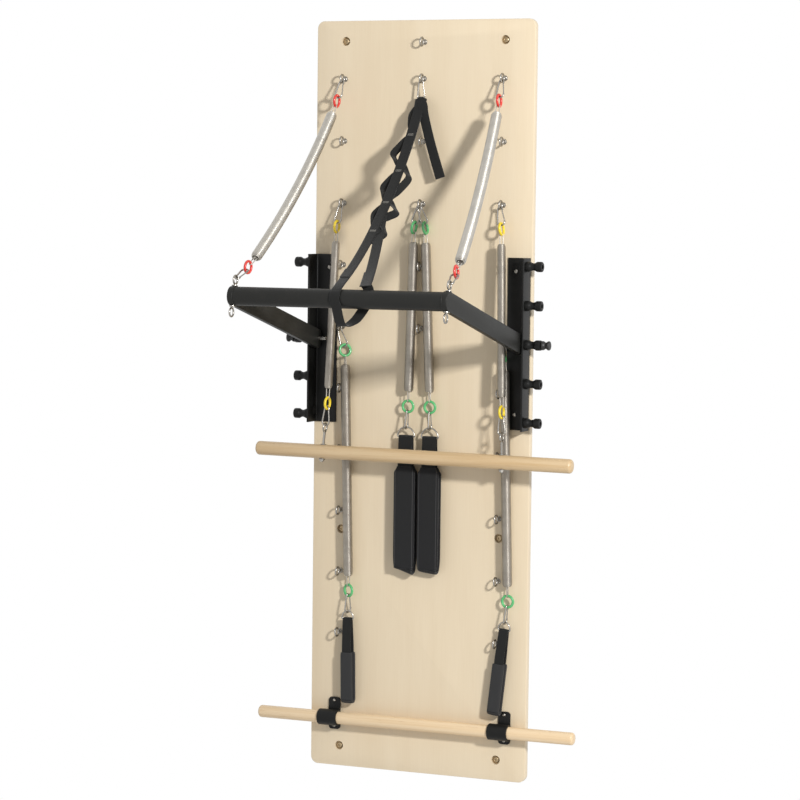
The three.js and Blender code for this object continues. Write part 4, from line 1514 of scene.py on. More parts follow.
        top = arc(self.top_radius, -self.top_radius, lean - 0.5, math.pi - lean, 14)
        base = arc(self.foot_radius, foot, math.pi - lean, math.tau + lean + 0.1, 22)
        body = bent_wire("snap_body", [*top, *base], self.wire, False, 4)
        gate_foot, gate_top = base[-1], top[0]
        gate = [
            gate_foot + vec(0.1, 0, -1.0), gate_foot.lerp(gate_top, 0.3),
            gate_foot.lerp(gate_top, 0.97) + vec(-0.7, 0, 0),
        ]
        gate_piece = bent_wire("snap_gate", gate, self.wire * 0.74)
        nose = [(self.wire * r, z) for r, z in ((0.8, -1.6), (1.12, -0.9), (1.12, 1.2), (0.9, 2.2))]
        rivet = [(r, self.wire * z) for r, z in ((0.9, -1.2), (1.25, -1.1), (1.25, 1.1), (0.9, 1.2))]
        nose_piece = turned("snap_nose", nose, frame_at(gate_top + vec(0.3, 0, 0.6), AS_DRAWN), 20)
        rivet_piece = turned("snap_rivet", rivet, frame_at(gate_foot + vec(0, 0, 0.6), OFF_WALL), 16)
        return weld([body, gate_piece, nose_piece, rivet_piece], "snap_model")

    def hook(self, name: str, end: Vector, ring: Link, coil_radius: float) -> Piece:
        """Hairpin hook from a coil's end to the coloured ring, drawn in from both sides of the coil.

        Args:
            name: Name of the piece.
            end: End of the coil's axis.
            ring: Place of the coloured ring.
            coil_radius: Outer radius of the coil in millimetres.

        Returns:
            The hook.
        """
        out = (ring.centre - end).normalized()
        reach = (ring.centre - end).length - self.ring
        root = coil_radius * 0.4
        tip = reach + self.ring_wire + self.hook_wire
        bow = self.hook_wire + self.ring_wire - 0.4
        half = [(root, -1.5), (root, 2.0), ((root + bow) / 2, tip * 0.3), (bow, tip * 0.55)]
        half.append((bow, tip - bow * 1.1))
        half += [(bow * math.cos(a), tip - bow + bow * math.sin(a)) for a in (0.35, 0.8, 1.2, QUARTER)]
        points = [*half, *[(-x, z) for x, z in half[:-1]][::-1]]
        line = spline([end + ring.side * x + out * z for x, z in points], 3)
        return bent_wire(name, line, self.hook_wire)

    def spring(self, name: str, chain: Chain, radius: float, wire: float, colour: RingColour) -> List[Piece]:
        """Coil with its hooks, and its two coloured rings.

        Args:
            name: Start of the pieces' names.
            chain: Places of the chain.
            radius: Outer radius of the coil.
            wire: Wire radius of the coil.
            colour: Code colour of the rings.

        Returns:
            The coil with its hooks, the upper ring and the lower ring.
        """
        points = chain.bend()
        length = 0.0
        for first, second in zip(points, points[1:]):
            length += (second - first).length

        def axis(share: float) -> Tuple[Vector, Vector]:
            """A point of the coil's axis and its direction there.

            Args:
                share: Place along the coil, 0 to 1.

            Returns:
                The point and the direction there.
            """
            place = clamped(share) * (len(points) - 1)
            index = min(int(place), len(points) - 2)
            here = points[index].lerp(points[index + 1], place - index)
            return here, (points[index + 1] - points[index]).normalized()

        coil = wound(name, axis, length, chain.normal, radius, wire)
        ends = (("upper", chain.coil_top, chain.upper_ring), ("lower", chain.coil_foot, chain.lower_ring))
        hooks = [self.hook(f"{name}_{end}_hook", spot, link, radius) for end, spot, link in ends]
        made = [dress(weld([coil, *hooks], name), WIRE if colour is RingColour.RED else DARKER_COIL_WIRE)]
        for end, _, link in ends:
            place = frame_at(link.centre, hang_turn(link.heading, link.side))
            ring = hoop(f"{name}_{end}_ring", self.ring - self.ring_inset, self.ring_skin, place, 48, 18)
            made.append(dress(ring, colour.value))
        return made


@dataclass(frozen=True)
class SpringKind:
    """What the left and right springs of one kind share; {side} stands for the side."""

    colour: RingColour
    radius: float
    wire: float
    link: str
    reach: str
    lower: str


HEAVY_WIRE = 1.25
LIGHT_WIRE = 1.1
SPRING_KINDS = {
    "red": SpringKind(RingColour.RED, 14.4, HEAVY_WIRE, "{side}_red_link", "{side}_red_reach", "push_bar"),
    "yellow": SpringKind(RingColour.YELLOW, 11.3, LIGHT_WIRE, "roll_down_links", "roll_down", "roll_down"),
    "leg": SpringKind(RingColour.GREEN, 13.2, HEAVY_WIRE, "{side}_leg_link", "{side}_foot", "{side}_foot"),
    "arm": SpringKind(RingColour.GREEN, 13.2, HEAVY_WIRE, "{side}_arm_link", "{side}_hand", "{side}_hand"),
}


@dataclass
class SpringSet:
    """Every spring chain of the unit with its carabiners."""

    hardware: Hardware
    eyes: Places
    roll_down_out: float = 55.0
    roll_down_hang_drop: float = 663.0
    yellow_link_forward: float = 0.3
    yellow_coils: Pair = (394.0, 399.5)
    leg_coil: float = 397.0
    arm_coil: float = 569.0

    def yellow_coil_forward(self) -> float:
        """Share by which the yellow coils lean out, once their links have leaned past the eye below them."""
        link = self.hardware.link_reach() / math.hypot(1.0, self.yellow_link_forward)
        return (self.roll_down_out - link * self.yellow_link_forward) / (self.roll_down_hang_drop - link)

    def chains(self, bar_eyes: Places) -> Dict[str, Chain]:
        """Every chain by its name.

        Args:
            bar_eyes: Centres of the bar's eye rings by side.

        Returns:
            The chains.
        """
        hang, eyes = self.hardware.hang, self.eyes
        lean = {"forward": self.yellow_coil_forward(), "link_forward": self.yellow_link_forward}
        leg, arm = self.leg_coil, self.arm_coil
        left_yellow, right_yellow = self.yellow_coils
        made = {f"{side}_red": self.hardware.sling(eyes[f"{side}_1"], bar_eyes[side]) for side, _ in SIDES}
        made["left_yellow"] = hang(eyes["left_3"], (-0.085, -0.018, -0.07), left_yellow, **lean)
        made["right_yellow"] = hang(eyes["right_3"], (0.235, 0.041, 0.04), right_yellow, **lean)
        across = {"lower_turn": QUARTER}
        made["left_leg"] = hang(eyes["centre_3"], (-0.31, -0.024, -0.09), leg, beside=-4.0, **across)
        made["right_leg"] = hang(eyes["centre_3"], (0.36, 0.041, 0.01), leg, beside=1.0, **across)
        made["left_arm"] = hang(eyes["left_5"], (0.37, 0.026, -0.03), arm, ring_turn=-0.75, lower_turn=1.15)
        made["right_arm"] = hang(eyes["right_5"], (0.36, 0.03, -0.13), arm, ring_turn=0.5, **across)
        return made

    def build(self, chains: Dict[str, Chain]) -> None:
        """Makes carabiners, coils and rings, and lets the carabiners and rings ride on their bodies.

        Args:
            chains: Every chain by its name.
        """
        model = self.hardware.carabiner()
        for name, chain in chains.items():
            side, key = name.split("_")
            kind = SPRING_KINDS[key]
            link, reach, lower_body = [body.format(side=side) for body in (kind.link, kind.reach, kind.lower)]
            for end, place, body in (("upper", chain.upper, link), ("lower", chain.lower, lower_body)):
                install(model, f"{name}_{end}_snap", place, PLATE, body, f"{name}_{end}_carabiner")
            made = self.hardware.spring(f"{name}_coil", chain, kind.radius, kind.wire, kind.colour)
            coil, upper, lower = made
            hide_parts(f"{name}_spring")
            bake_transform(coil)
            seat(upper, link)
            seat(lower, reach)
        drop(model)


@dataclass
class Board:
    """Rounded board with its six wall bolts in counterbored holes."""

    width: float = 624.0
    height: float = 2000.0
    thickness: float = 20.0
    corner: float = 20.0
    bolt_spread: float = 228.5
    bolt_heights: Tuple[float, ...] = (946.0, -357.0, -945.5)
    bolt_turn: float = 1.1
    head_hole: float = 12.0
    head_depth: float = 9.0

    def build(self) -> None:
        """Makes the board and its bolts."""
        w, h, r = self.width / 2, self.height / 2, self.corner
        outline = rounded([(-w, -h, r), (w, -h, r), (w, h, r), (-w, h, r)], 10)
        board = slab("board_panel", outline, self.thickness, OFF_WALL, 1.6, 3)
        places = [vec(way * self.bolt_spread, 0, height) for _, way in SIDES for height in self.bolt_heights]
        mouth = vec(0, -self.thickness - 2, 0)
        floor = vec(0, self.head_depth - self.thickness, 0)
        for place in places:
            drill(board, place + mouth, place + floor, self.head_hole)
        smooth(board, 30.0)
        seat(dress(board, BoardLacquer()), ROOT, "board")
        model = self.bolt()
        for index, place in enumerate(places):
            lay = frame_at(place, Matrix.Rotation(index * self.bolt_turn, 3, "Y"))
            install(model, f"wall_bolt_{index}", lay, BRONZE, ROOT)
        drop(model)

    def bolt(self) -> Piece:
        """One wall bolt at the board's back: sunk washer and a domed head with a hexagon socket.

        Returns:
            The bolt about its own axis.
        """
        floor = self.thickness - self.head_depth
        washer = [(11.4, 0.0), (11.4, 1.4), (6.0, 1.6)]
        dome = [(8.6, 1.2), (8.8, 2.2), (8.4, 4.0), (7.0, 5.6), (4.6, 6.4)]
        head = [*dome, (3.4, 6.5), (3.1, 6.3), (3.0, 3.4)]
        parts = [
            turned("bolt_washer", [(r, floor + z) for r, z in washer], OFF_WALL, 36, 0.3),
            turned("bolt_head", [(r, floor + z) for r, z in head], OFF_WALL, 36),
            turned("bolt_shank", [(4.6, 1.0), (4.6, floor + 1.5)], OFF_WALL, 24),
        ]
        return weld(parts, "bolt_model")


def screw_model(radius: float) -> Piece:
    """One bright button-head screw at the origin with its seat on +Y and its face on -Y."""
    head = [(0.9, -0.2), (1.0, 0.5), (0.94, 1.5), (0.72, 2.6), (0.46, 3.1), (0.4, 3.0), (0.36, 1.2)]
    return turned("screw_model", [(radius * r, z) for r, z in head], OFF_WALL, 32)


@dataclass
class SideBrackets:
    """Black steel angles at both edges, each with five spool sockets and two screws."""

    height: float = 450.0
    centre: float = 155.5
    inner: float = 246.0
    outer: float = 310.0
    plate: float = 4.0
    flange: float = 5.0
    fold: float = 4.0
    tip: float = -72.0
    back: float = -20.35
    pitch: float = 101.6
    count: int = 5
    spool_out: float = 52.0
    bore: float = 5.5
    screw_radius: float = 5.4
    screw_x: float = 270.0
    screw_heights: Pair = (345.0, -29.0)

    def spool(self) -> Piece:
        """One hollow spool at the origin on the flange's outer face, its mouth to +X.

        Returns:
            The spool.
        """
        stations = [
            (12.0, -2.0), (13.5, -1.0), (13.5, 6.0), (13.2, 9.0), (12.0, 12.0), (10.4, 15.0),
            (9.6, 18.5), (9.6, 21.5), (10.6, 25.0), (12.4, 27.6), (13.4, 29.6), (13.5, 32.0),
            (13.5, 41.0), (12.8, 43.2), (11.4, 44.0), (6.2, 44.0), (self.bore, 43.4), (self.bore, 4.0),
        ]
        return turned("spool", stations, ALONG_X)

    def build(self) -> None:
        """Makes both brackets and their screws."""
        inside = self.back - self.plate
        web = self.outer - self.flange
        outline = rounded([
            (self.inner, inside, 0.6), (web, inside, self.fold), (web, self.tip, 1.2),
            (self.outer, self.tip, 1.2), (self.outer, self.back, self.fold), (self.inner, self.back, 0.6),
        ])
        foot = shift(0, 0, self.centre - self.height / 2)
        parts = [slab("bracket_angle", outline, self.height, foot, 0.7)]
        spool = self.spool()
        for index in range(self.count):
            z = self.centre + (index - (self.count - 1) / 2) * self.pitch
            parts.append(another(spool, "spool_copy", shift(self.outer, -self.spool_out, z)))
        right = weld(parts, "right_side_bracket")
        left = another(right, "left_side_bracket", Matrix.Scale(-1, 4, ACROSS_X))
        screw = screw_model(self.screw_radius)
        for side, piece, way in (("right", right, 1), ("left", left, -1)):
            seat(dress(piece, BLACK), ROOT, f"{side}_bracket")
            for index, z in enumerate(self.screw_heights):
                place = shift(way * self.screw_x, inside, z)
                install(screw, f"{side}_bracket_screw_{index}", place, PLATE, ROOT)
        drop(spool, screw)


@dataclass
class PushBar:
    """U-shaped bar of two flat arms and a round tube, hung between the brackets on two pull pins."""

    pivot: Pair = (-52.0, 155.5)
    reach: float = 483.0
    rise: float = 125.5
    arm_x: float = 294.0
    arm_width: float = 50.0
    arm_thickness: float = 14.0
    arm_heel: float = 20.0
    arm_toe: float = 25.0
    eye_offset: float = 42.0
    shank: float = 3.4
    pin: float = 5.0
    pin_inner: float = 262.0
    knob_start: float = 354.7
    knob: float = 12.0

    def tube(self) -> Vector:
        """Middle of the tube."""
        return vec(0, self.pivot[0] - self.reach, self.pivot[1] + self.rise)

    def along(self) -> Vector:
        """Heading of the arms, from the pins to the tube."""
        return vec(0, -self.reach, self.rise).normalized()

    def up(self) -> Vector:
        """Square to the arms, upwards."""
        return self.along().cross(ACROSS_X).normalized()

    def eye_places(self) -> Places:
        """Upper eye ring of each arm."""
        up = self.tube() + self.up() * self.eye_offset
        return {side: up + ACROSS_X * (way * self.arm_x) for side, way in SIDES}

    def build(self) -> None:
        """Makes the bar, its eye bolts and the pull pins."""
        self.build_bar()
        self.build_eyes()
        self.build_pins()

    def build_bar(self) -> None:
        """Makes the arms and the tube as one welded piece."""
        half = self.arm_width / 2
        heel, toe = -self.arm_heel, math.hypot(self.reach, self.rise) + self.arm_toe
        corners = [(heel, -half, 13.0), (toe, -half, 24.0), (toe, half, 24.0), (heel, half, 13.0)]
        outline = rounded(corners, 12)
        lay = Matrix((self.along(), self.up(), -ACROSS_X)).transposed()
        face = self.arm_x - self.arm_thickness / 2
        tube = self.tube()
        parts = []
        for _, way in SIDES:
            place = frame_at(vec(way * self.arm_x + self.arm_thickness / 2, *self.pivot), lay)
            parts.append(slab("bar_arm", outline, self.arm_thickness, place, 2.0, 3))
        stations = [(BAR_TUBE_RADIUS, -face - 2), (BAR_TUBE_RADIUS, face + 2)]
        parts.append(turned("bar_tube", stations, frame_at(tube, ALONG_X), 64))
        for _, way in SIDES:
            seam = shift(way * face, tube.y, tube.z)
            parts.append(hoop("bar_weld", BAR_TUBE_RADIUS + 0.2, 1.7, seam, 64, 10))
        seat(dress(weld(parts, "push_bar"), BAR_PAINT), "push_bar", "push_through_bar")

    def build_eyes(self) -> None:
        """Makes a through eye bolt in each arm's end, with a ring above and below."""
        half = self.arm_width / 2 + 0.35
        offsets = [way * self.eye_offset for _, way in SIDES]
        parts = [hoop("bar_eye_ring", EYE_RING, EYE_WIRE, shift(0, 0, offset)) for offset in offsets]
        neck = self.eye_offset - EYE_RING + 1
        shank = [(EYE_WIRE, -neck), (self.shank, 3 - neck), (self.shank, neck - 3), (EYE_WIRE, neck)]
        parts.append(turned("bar_eye_shank", shank, AS_DRAWN, 24))
        for _, way in SIDES:
            start, end = sorted((way * half, way * (half + 2.3)))
            parts.append(turned("bar_eye_washer", [(8.0, start), (8.0, end)], AS_DRAWN, 32, 0.35))
        model = weld(parts, "bar_eye_model")
        for side, way in SIDES:
            place = frame_at(self.tube() + ACROSS_X * (way * self.arm_x), hang_turn(-self.up()))
            install(model, f"{side}_bar_eye", place, PLATE, "push_bar", f"{side}_bar_eye_bolt")
        drop(model)

    def build_pins(self) -> None:
        """Makes the steel pins and their waisted plastic knobs."""
        start, wide = self.knob_start, self.knob
        pin = [
            (self.pin - 1.2, self.pin_inner), (self.pin, self.pin_inner + 1.4), (self.pin, start - 0.2),
            (self.pin - 0.6, start + 4),
        ]
        grip = [
            (6.4, 0.0), (8.0, 0.4), (wide, 2.0), (wide, 5.0), (10.2, 8.0), (8.4, 10.6), (8.3, 12.4),
            (10.0, 15.0), (wide, 18.0), (wide, 21.0), (11.0, 22.3), (8.0, 23.0), (3.0, 22.8),
        ]
        for side, way in SIDES:
            lay = frame_at(vec(0, *self.pivot), Matrix.Rotation(way * QUARTER, 3, "Y"))
            rod = turned(f"{side}_pin_rod", pin, lay, 32)
            knob = turned(f"{side}_pin_knob", [(r, start + z) for r, z in grip], lay)
            seat(dress(rod, PLATE), f"{side}_pin")
            seat(dress(knob, MouldedKnob()), f"{side}_pin", f"{side}_pull_pin")


@dataclass
class Dowels:
    """The roll-down dowel on the yellow chains and the fixed lower dowel in its clamps."""

    hardware: Hardware
    roll_radius: float = 18.7
    roll_length: float = 904.0
    roll_shift: float = 1.0
    end_round: float = 7.0
    eye_drop: float = 64.5
    low_radius: float = 16.7
    low_length: float = 913.0
    low_place: Triple = (1.5, -45.0, -866.0)
    clamp_spread: float = 247.0
    clamp_width: float = 56.0
    clamp_wall: float = 4.5
    clamp_plate: float = 4.0
    ear_shift: float = 6.0
    ear_back: float = 24.65
    ear_half: float = 17.0
    ear_low: float = -35.0
    ear_high: float = 52.0
    ear_corner: float = 9.0
    screw_radius: float = 4.6
    clamp_screws: Pair = (43.0, -25.0)

    def dowel(self, name: str, radius: float, length: float, place: Matrix, wood: Finish) -> Piece:
        """A dowel on local X with softly rounded ends.

        Args:
            name: Name of the piece.
            radius: Radius in millimetres.
            length: Length in millimetres.
            place: Place in millimetres.
            wood: Its finish.

        Returns:
            The dowel.
        """
        reach, soft = length / 2, self.end_round
        bend = [
            (radius - soft + soft * math.sin(a), reach - soft + soft * math.cos(a))
            for a in (QUARTER, math.pi / 3, math.pi / 6, 0.0)
        ]
        made = turned(name, [*[(r, -x) for r, x in bend[::-1]], *bend], place @ ALONG_X, 56)
        smooth(made, 60.0)
        return dress(made, wood)

    def build(self, chains: Dict[str, Chain]) -> None:
        """Makes both dowels with their fittings."""
        self.build_roll_down(chains)
        self.build_lower()

    def build_roll_down(self, chains: Dict[str, Chain]) -> None:
        """Makes the hung dowel, its eye bolts and their nuts.

        Args:
            chains: Every chain by its name.
        """
        gap = self.hardware.wire + EYE_WIRE + self.hardware.gap
        hung = {side: chains[f"{side}_yellow"] for side, _ in SIDES}
        centres = {side: chain.foot + chain.direction * (EYE_RING - gap) for side, chain in hung.items()}
        left, right = [centres[side] + hung[side].direction * self.eye_drop for side, _ in SIDES]
        along = (right - left).normalized()
        middle = (right + left) / 2 + along * self.roll_shift
        place = frame_at(middle, hang_turn(square_to(DOWN, along), along))
        roll = self.dowel("roll_down_bar", self.roll_radius, self.roll_length, place, SHADED_ROLL_WOOD)
        seat(roll, "roll_down", "roll_down_dowel")
        top = -(self.eye_drop - self.roll_radius)
        low = -(self.eye_drop + self.roll_radius + 0.35)
        shank = [(2.6, low - 8.4), (3.4, low - 7.6), (3.4, -14.5), (4.2, -12.6), (2.3, -10.0)]
        cap = [(8.0, top + 0.35), (8.0, top + 1.4), (3.6, top + 2.2)]
        parts = [
            hoop("dowel_eye_ring", EYE_RING, EYE_WIRE, AS_DRAWN),
            turned("dowel_eye_shank", shank, AS_DRAWN, 24),
            turned("dowel_eye_nut", [(6.5, low - 6.0), (6.5, low - 1.4)], AS_DRAWN, 6, 0.5, 25),
            turned("dowel_eye_washer", [(8.4, low - 1.4), (8.4, low)], AS_DRAWN, 32),
            turned("dowel_eye_cap", cap, AS_DRAWN, 32),
        ]
        model = weld(parts, "dowel_eye_model")
        for side, chain in hung.items():
            lay = frame_at(centres[side], hang_turn(chain.direction))
            install(model, f"{side}_dowel_eye", lay, PLATE, "roll_down", f"{side}_dowel_eye_bolt")
        drop(model)

    def build_lower(self) -> None:
        """Makes the fixed dowel and its two clamps."""
        low = self.dowel("lower_bar", self.low_radius, self.low_length, shift(*self.low_place), LOWER_WOOD)
        seat(low, ROOT, "lower_dowel")
        ear = OFF_WALL.copy()
        ear.translation = vec(self.ear_shift, self.ear_back, 0)
        half, foot, head, bend = self.ear_half, self.ear_low, self.ear_high, self.ear_corner
        corners = [(-half, foot, bend), (half, foot, bend), (half, head, bend), (-half, head, bend)]
        outline = rounded(corners, 8)
        model = weld([self.sleeve(), slab("clamp_plate", outline, self.clamp_plate, ear, 0.7)], "clamp_model")
        screw = screw_model(self.screw_radius)
        for side, way in SIDES:
            spot = vec(way * self.clamp_spread, *self.low_place[1:])
            install(model, f"{side}_clamp", shift(*spot), BLACK, ROOT, f"{side}_dowel_clamp")
            for index, rise in enumerate(self.clamp_screws):
                place = spot + vec(self.ear_shift, self.ear_back - self.clamp_plate, rise)
                install(screw, f"{side}_clamp_screw_{index}", shift(*place), PLATE, ROOT)
        drop(model, screw)

    def sleeve(self) -> Piece:
        """The clamp's ring, turned as one closed wall: its rims meet and the discs inside it go.

        Returns:
            The ring as one piece.
        """
        inner, reach = self.low_radius + 0.4, self.clamp_width / 2
        outer = inner + self.clamp_wall
        stations = [(inner, -reach), (outer, -reach), (outer, reach), (inner, reach), (inner, -reach)]
        made = turned("clamp_sleeve", stations, ALONG_X, 56)
        open_mesh(made)
        bpy.ops.mesh.select_all(action="DESELECT")
        bpy.ops.object.mode_set(mode="OBJECT")
        for face in made.data.polygons:
            face.select = abs(face.normal.x) > 0.9 and face.center.yz.length < 1e-6
        bpy.ops.object.mode_set(mode="EDIT")
        bpy.ops.mesh.delete(type="FACE")
        bpy.ops.mesh.select_all(action="SELECT")
        bpy.ops.mesh.remove_doubles(threshold=0.00001)
        close_mesh()
        bevel(made, 0.8, 2, 60)
        smooth(made, 30.0)
        return made


@dataclass(frozen=True)
class LoopKind:
    """Sizes of a foot or hand loop, pairs as width and depth or width and thickness."""

    body: str
    node: str
    ring: Pair
    drop: float
    depth: float
    web: Pair
    pad: Pair
    pad_start: float

    def foot(self) -> float:
        """Height of the middle of the bend at the loop's foot."""
        return self.depth - self.drop


FOOT = LoopKind("foot", "foot_loop", (53.0, 27.0), 356.0, 9.0, (40.0, 3.0), (60.0, 5.2), 78.0)
HAND = LoopKind("hand", "handle", (38.0, 23.0), 224.0, 9.5, (26.0, 2.6), (34.0, 6.0), 90.0)


def mirrored(points: Sequence[Vector]) -> List[Vector]:
    """The same points on the front, in the other order."""
    return [vec(0, -point.y, point.z) for point in points[::-1]]


@dataclass
class Loop:
    """One padded foot or hand loop below its green spring."""

    hardware: Hardware
    kind: LoopKind
    side: str
    chain: Chain
    lean: float = 0.0
    slant: float = 0.0
    ring_wire: float = 2.1
    pad_taper: float = 18.0
    rim: float = 6.0
    foot_reach: float = 43.0
    foot_narrowing: float = 0.13
    foot_thinning: float = 0.14
    hand_narrowing: float = 0.05
    hand_thinning: float = 0.12

    def body(self) -> str:
        """The body that it rides on."""
        return f"{self.side}_{self.kind.body}"

    def d_ring(self) -> None:
        """Makes the D-ring: an arch over a straight bar at the origin."""
        width, height = self.kind.ring
        reach = width / 2 - self.ring_wire
        arch = []
        for step in range(13):
            angle = math.pi * (0.06 + 0.88 * step / 12)
            arch.append(vec(reach * math.cos(angle), 0, height * math.sin(angle)))
        left = [vec(-reach * 0.99, 0, 3.4), vec(-reach * 0.9, 0, 0.5), vec(-reach * 0.72, 0, 0)]
        right = [vec(-point.x, 0, point.z) for point in left[::-1]]
        line = spline([*arch, *left, vec(0, 0, 0), *right], 3, True)
        ring = bent_wire(f"{self.side}_{self.kind.node}_ring", line, self.ring_wire, True, 4)
        seat(dress(self.placed(ring), PLATE), self.body(), f"{self.side}_{self.kind.node}_d_ring")

    def placed(self, piece: Piece) -> Piece:
        """Moves a piece from the ring's bar at the origin to its place under the chain.

        Args:
            piece: The piece.

        Returns:
            The piece.
        """
        heading = hanging(self.lean)
        bite = self.hardware.wire + self.ring_wire + self.hardware.gap
        bar = self.chain.foot - self.chain.direction * bite + heading * self.kind.ring[1]
        return set_in_place(piece, frame_at(bar, hang_turn(heading)))

    def over_bar(self) -> List[Vector]:
        """Path over the ring's bar from front to back."""
        radius = self.ring_wire + 0.4 + self.kind.web[1] / 2
        return [vec(0, -radius * cosine, radius * sine) for cosine, sine in half_turn(10)]

    def under(self) -> List[Vector]:
        """Path round the loop's foot from front to back."""
        depth = self.kind.depth
        return [vec(0, -depth * cosine, self.kind.foot() - depth * sine) for cosine, sine in half_turn(14)]

    def down(self, low: float, shares: Sequence[float]) -> List[Vector]:
        """Path at the back from the bar to where the loop is at full depth."""
        start = self.over_bar()[-1].y
        return [vec(0, start + (self.kind.depth - start) * share, -low * share) for share in shares]

    def pad_line(self, shares: Sequence[float]) -> List[Vector]:
        """Centre line of the padding, down the front, round the foot and up the back.

        Args:
            shares: Places along its straight part, from its start at 0 to the bend at 1.

        Returns:
            The points in millimetres.
        """
        start, foot = self.kind.pad_start, self.kind.foot()
        back = [vec(0, self.kind.depth, -start + (foot + start) * share) for share in shares]
        return spline([*mirrored(back)[::-1], *self.under(), *back[::-1]], 4)

    def web_piece(self, path: Sequence[Vector], closed: bool, finish: Finish) -> Piece:
        """The loop's webbing on a path.

        Args:
            path: Points of its centre line.
            closed: Whether the path closes.
            finish: Its finish.

        Returns:
            The webbing.
        """
        line = spline(path, 3, closed)
        web = ribbon(f"{self.side}_{self.kind.body}_web", line, *self.kind.web, closed=closed)
        return dress(self.placed(web), finish)

    def build_foot(self) -> None:
        """Makes a foot loop: D-ring, webbing, and the padded sling below with its foot slanted."""
        self.d_ring()
        low = self.kind.pad_start + self.pad_taper
        down = self.down(low, (0.15, 0.35, 0.6, 0.8, 1.0))
        seat(self.web_piece([*mirrored(down), *self.over_bar(), *down], False, FOOT_WEB), self.body())
        narrow, (wide, thick) = self.kind.web[0] + 3, self.kind.pad
        line = self.pad_line((0.0, 0.02, 0.05, 0.1, 0.2, 0.35, 0.5, 0.65, 0.8, 0.9))
        widths, thicks, sideways = [], [], []
        for point in line:
            start = clamped((-point.z - self.kind.pad_start) / self.pad_taper)
            share = clamped((self.foot_reach - self.kind.drop - point.z) / self.foot_reach)
            ease = start * start * (3 - 2 * start)
            widths.append((narrow + (wide - narrow) * ease) * (1 - self.foot_narrowing * share**2))
            thicks.append(thick * (1 - self.foot_thinning * (1 - ease)))
            turn = self.slant * share * share
            sideways.append(vec(math.cos(turn), 0, -math.sin(turn)))
        pad = ribbon(f"{self.side}_foot_pad", line, widths, thicks, sideways, crown=0.7)
        dress(self.placed(pad), PAD_CLOTH)
        seat(pad, self.body(), f"{self.side}_foot_loop")

    def build_hand(self) -> None:
        """Makes a hand loop: D-ring, closed webbing and the foam sleeve round its foot."""
        self.d_ring()
        start, foot = self.kind.pad_start - self.pad_taper, self.kind.foot()
        straight = [vec(0, self.kind.depth, -start + (foot + start) * share) for share in (0.2, 0.5, 0.8)]
        back = [*self.down(start, (0.15, 0.4, 0.7, 1.0)), *straight]
        path = [*self.over_bar(), *back, *self.under()[::-1], *mirrored(back)]
        seat(self.web_piece(path, True, HAND_WEB), self.body(), f"{self.side}_handle_strap")
        wide, thick = self.kind.pad
        line = self.pad_line((0.0, 0.03, 0.08, 0.25, 0.5, 0.75))
        rims = [clamped((-point.z - self.kind.pad_start) / self.rim) for point in line]
        widths = [wide * (1 - self.hand_narrowing * (1 - rim)) for rim in rims]
        thicks = [thick * (1 - self.hand_thinning * (1 - rim)) for rim in rims]
        grip = ribbon(f"{self.side}_hand_grip", line, widths, thicks, crown=1.0)
        dress(self.placed(grip), GripFoam())
        seat(grip, self.body(), f"{self.side}_handle_grip")


def build_loops(hardware: Hardware, chains: Dict[str, Chain]) -> None:
    """Makes all four loops.

    Args:
        hardware: Maker of the carabiners and rings.
        chains: Every chain by its name.
    """
    Loop(hardware, FOOT, "left", chains["left_leg"], slant=0.34).build_foot()
    Loop(hardware, FOOT, "right", chains["right_leg"], slant=0.12).build_foot()
    Loop(hardware, HAND, "left", chains["left_arm"], lean=0.015).build_hand()
    Loop(hardware, HAND, "right", chains["right_arm"], lean=-0.115).build_hand()


@dataclass(frozen=True)
class Pocket:
    """One sewn pocket of the safety strap, by its place along the run and how far it stands out."""

    way: int
    start: float
    end: float
    stand: float


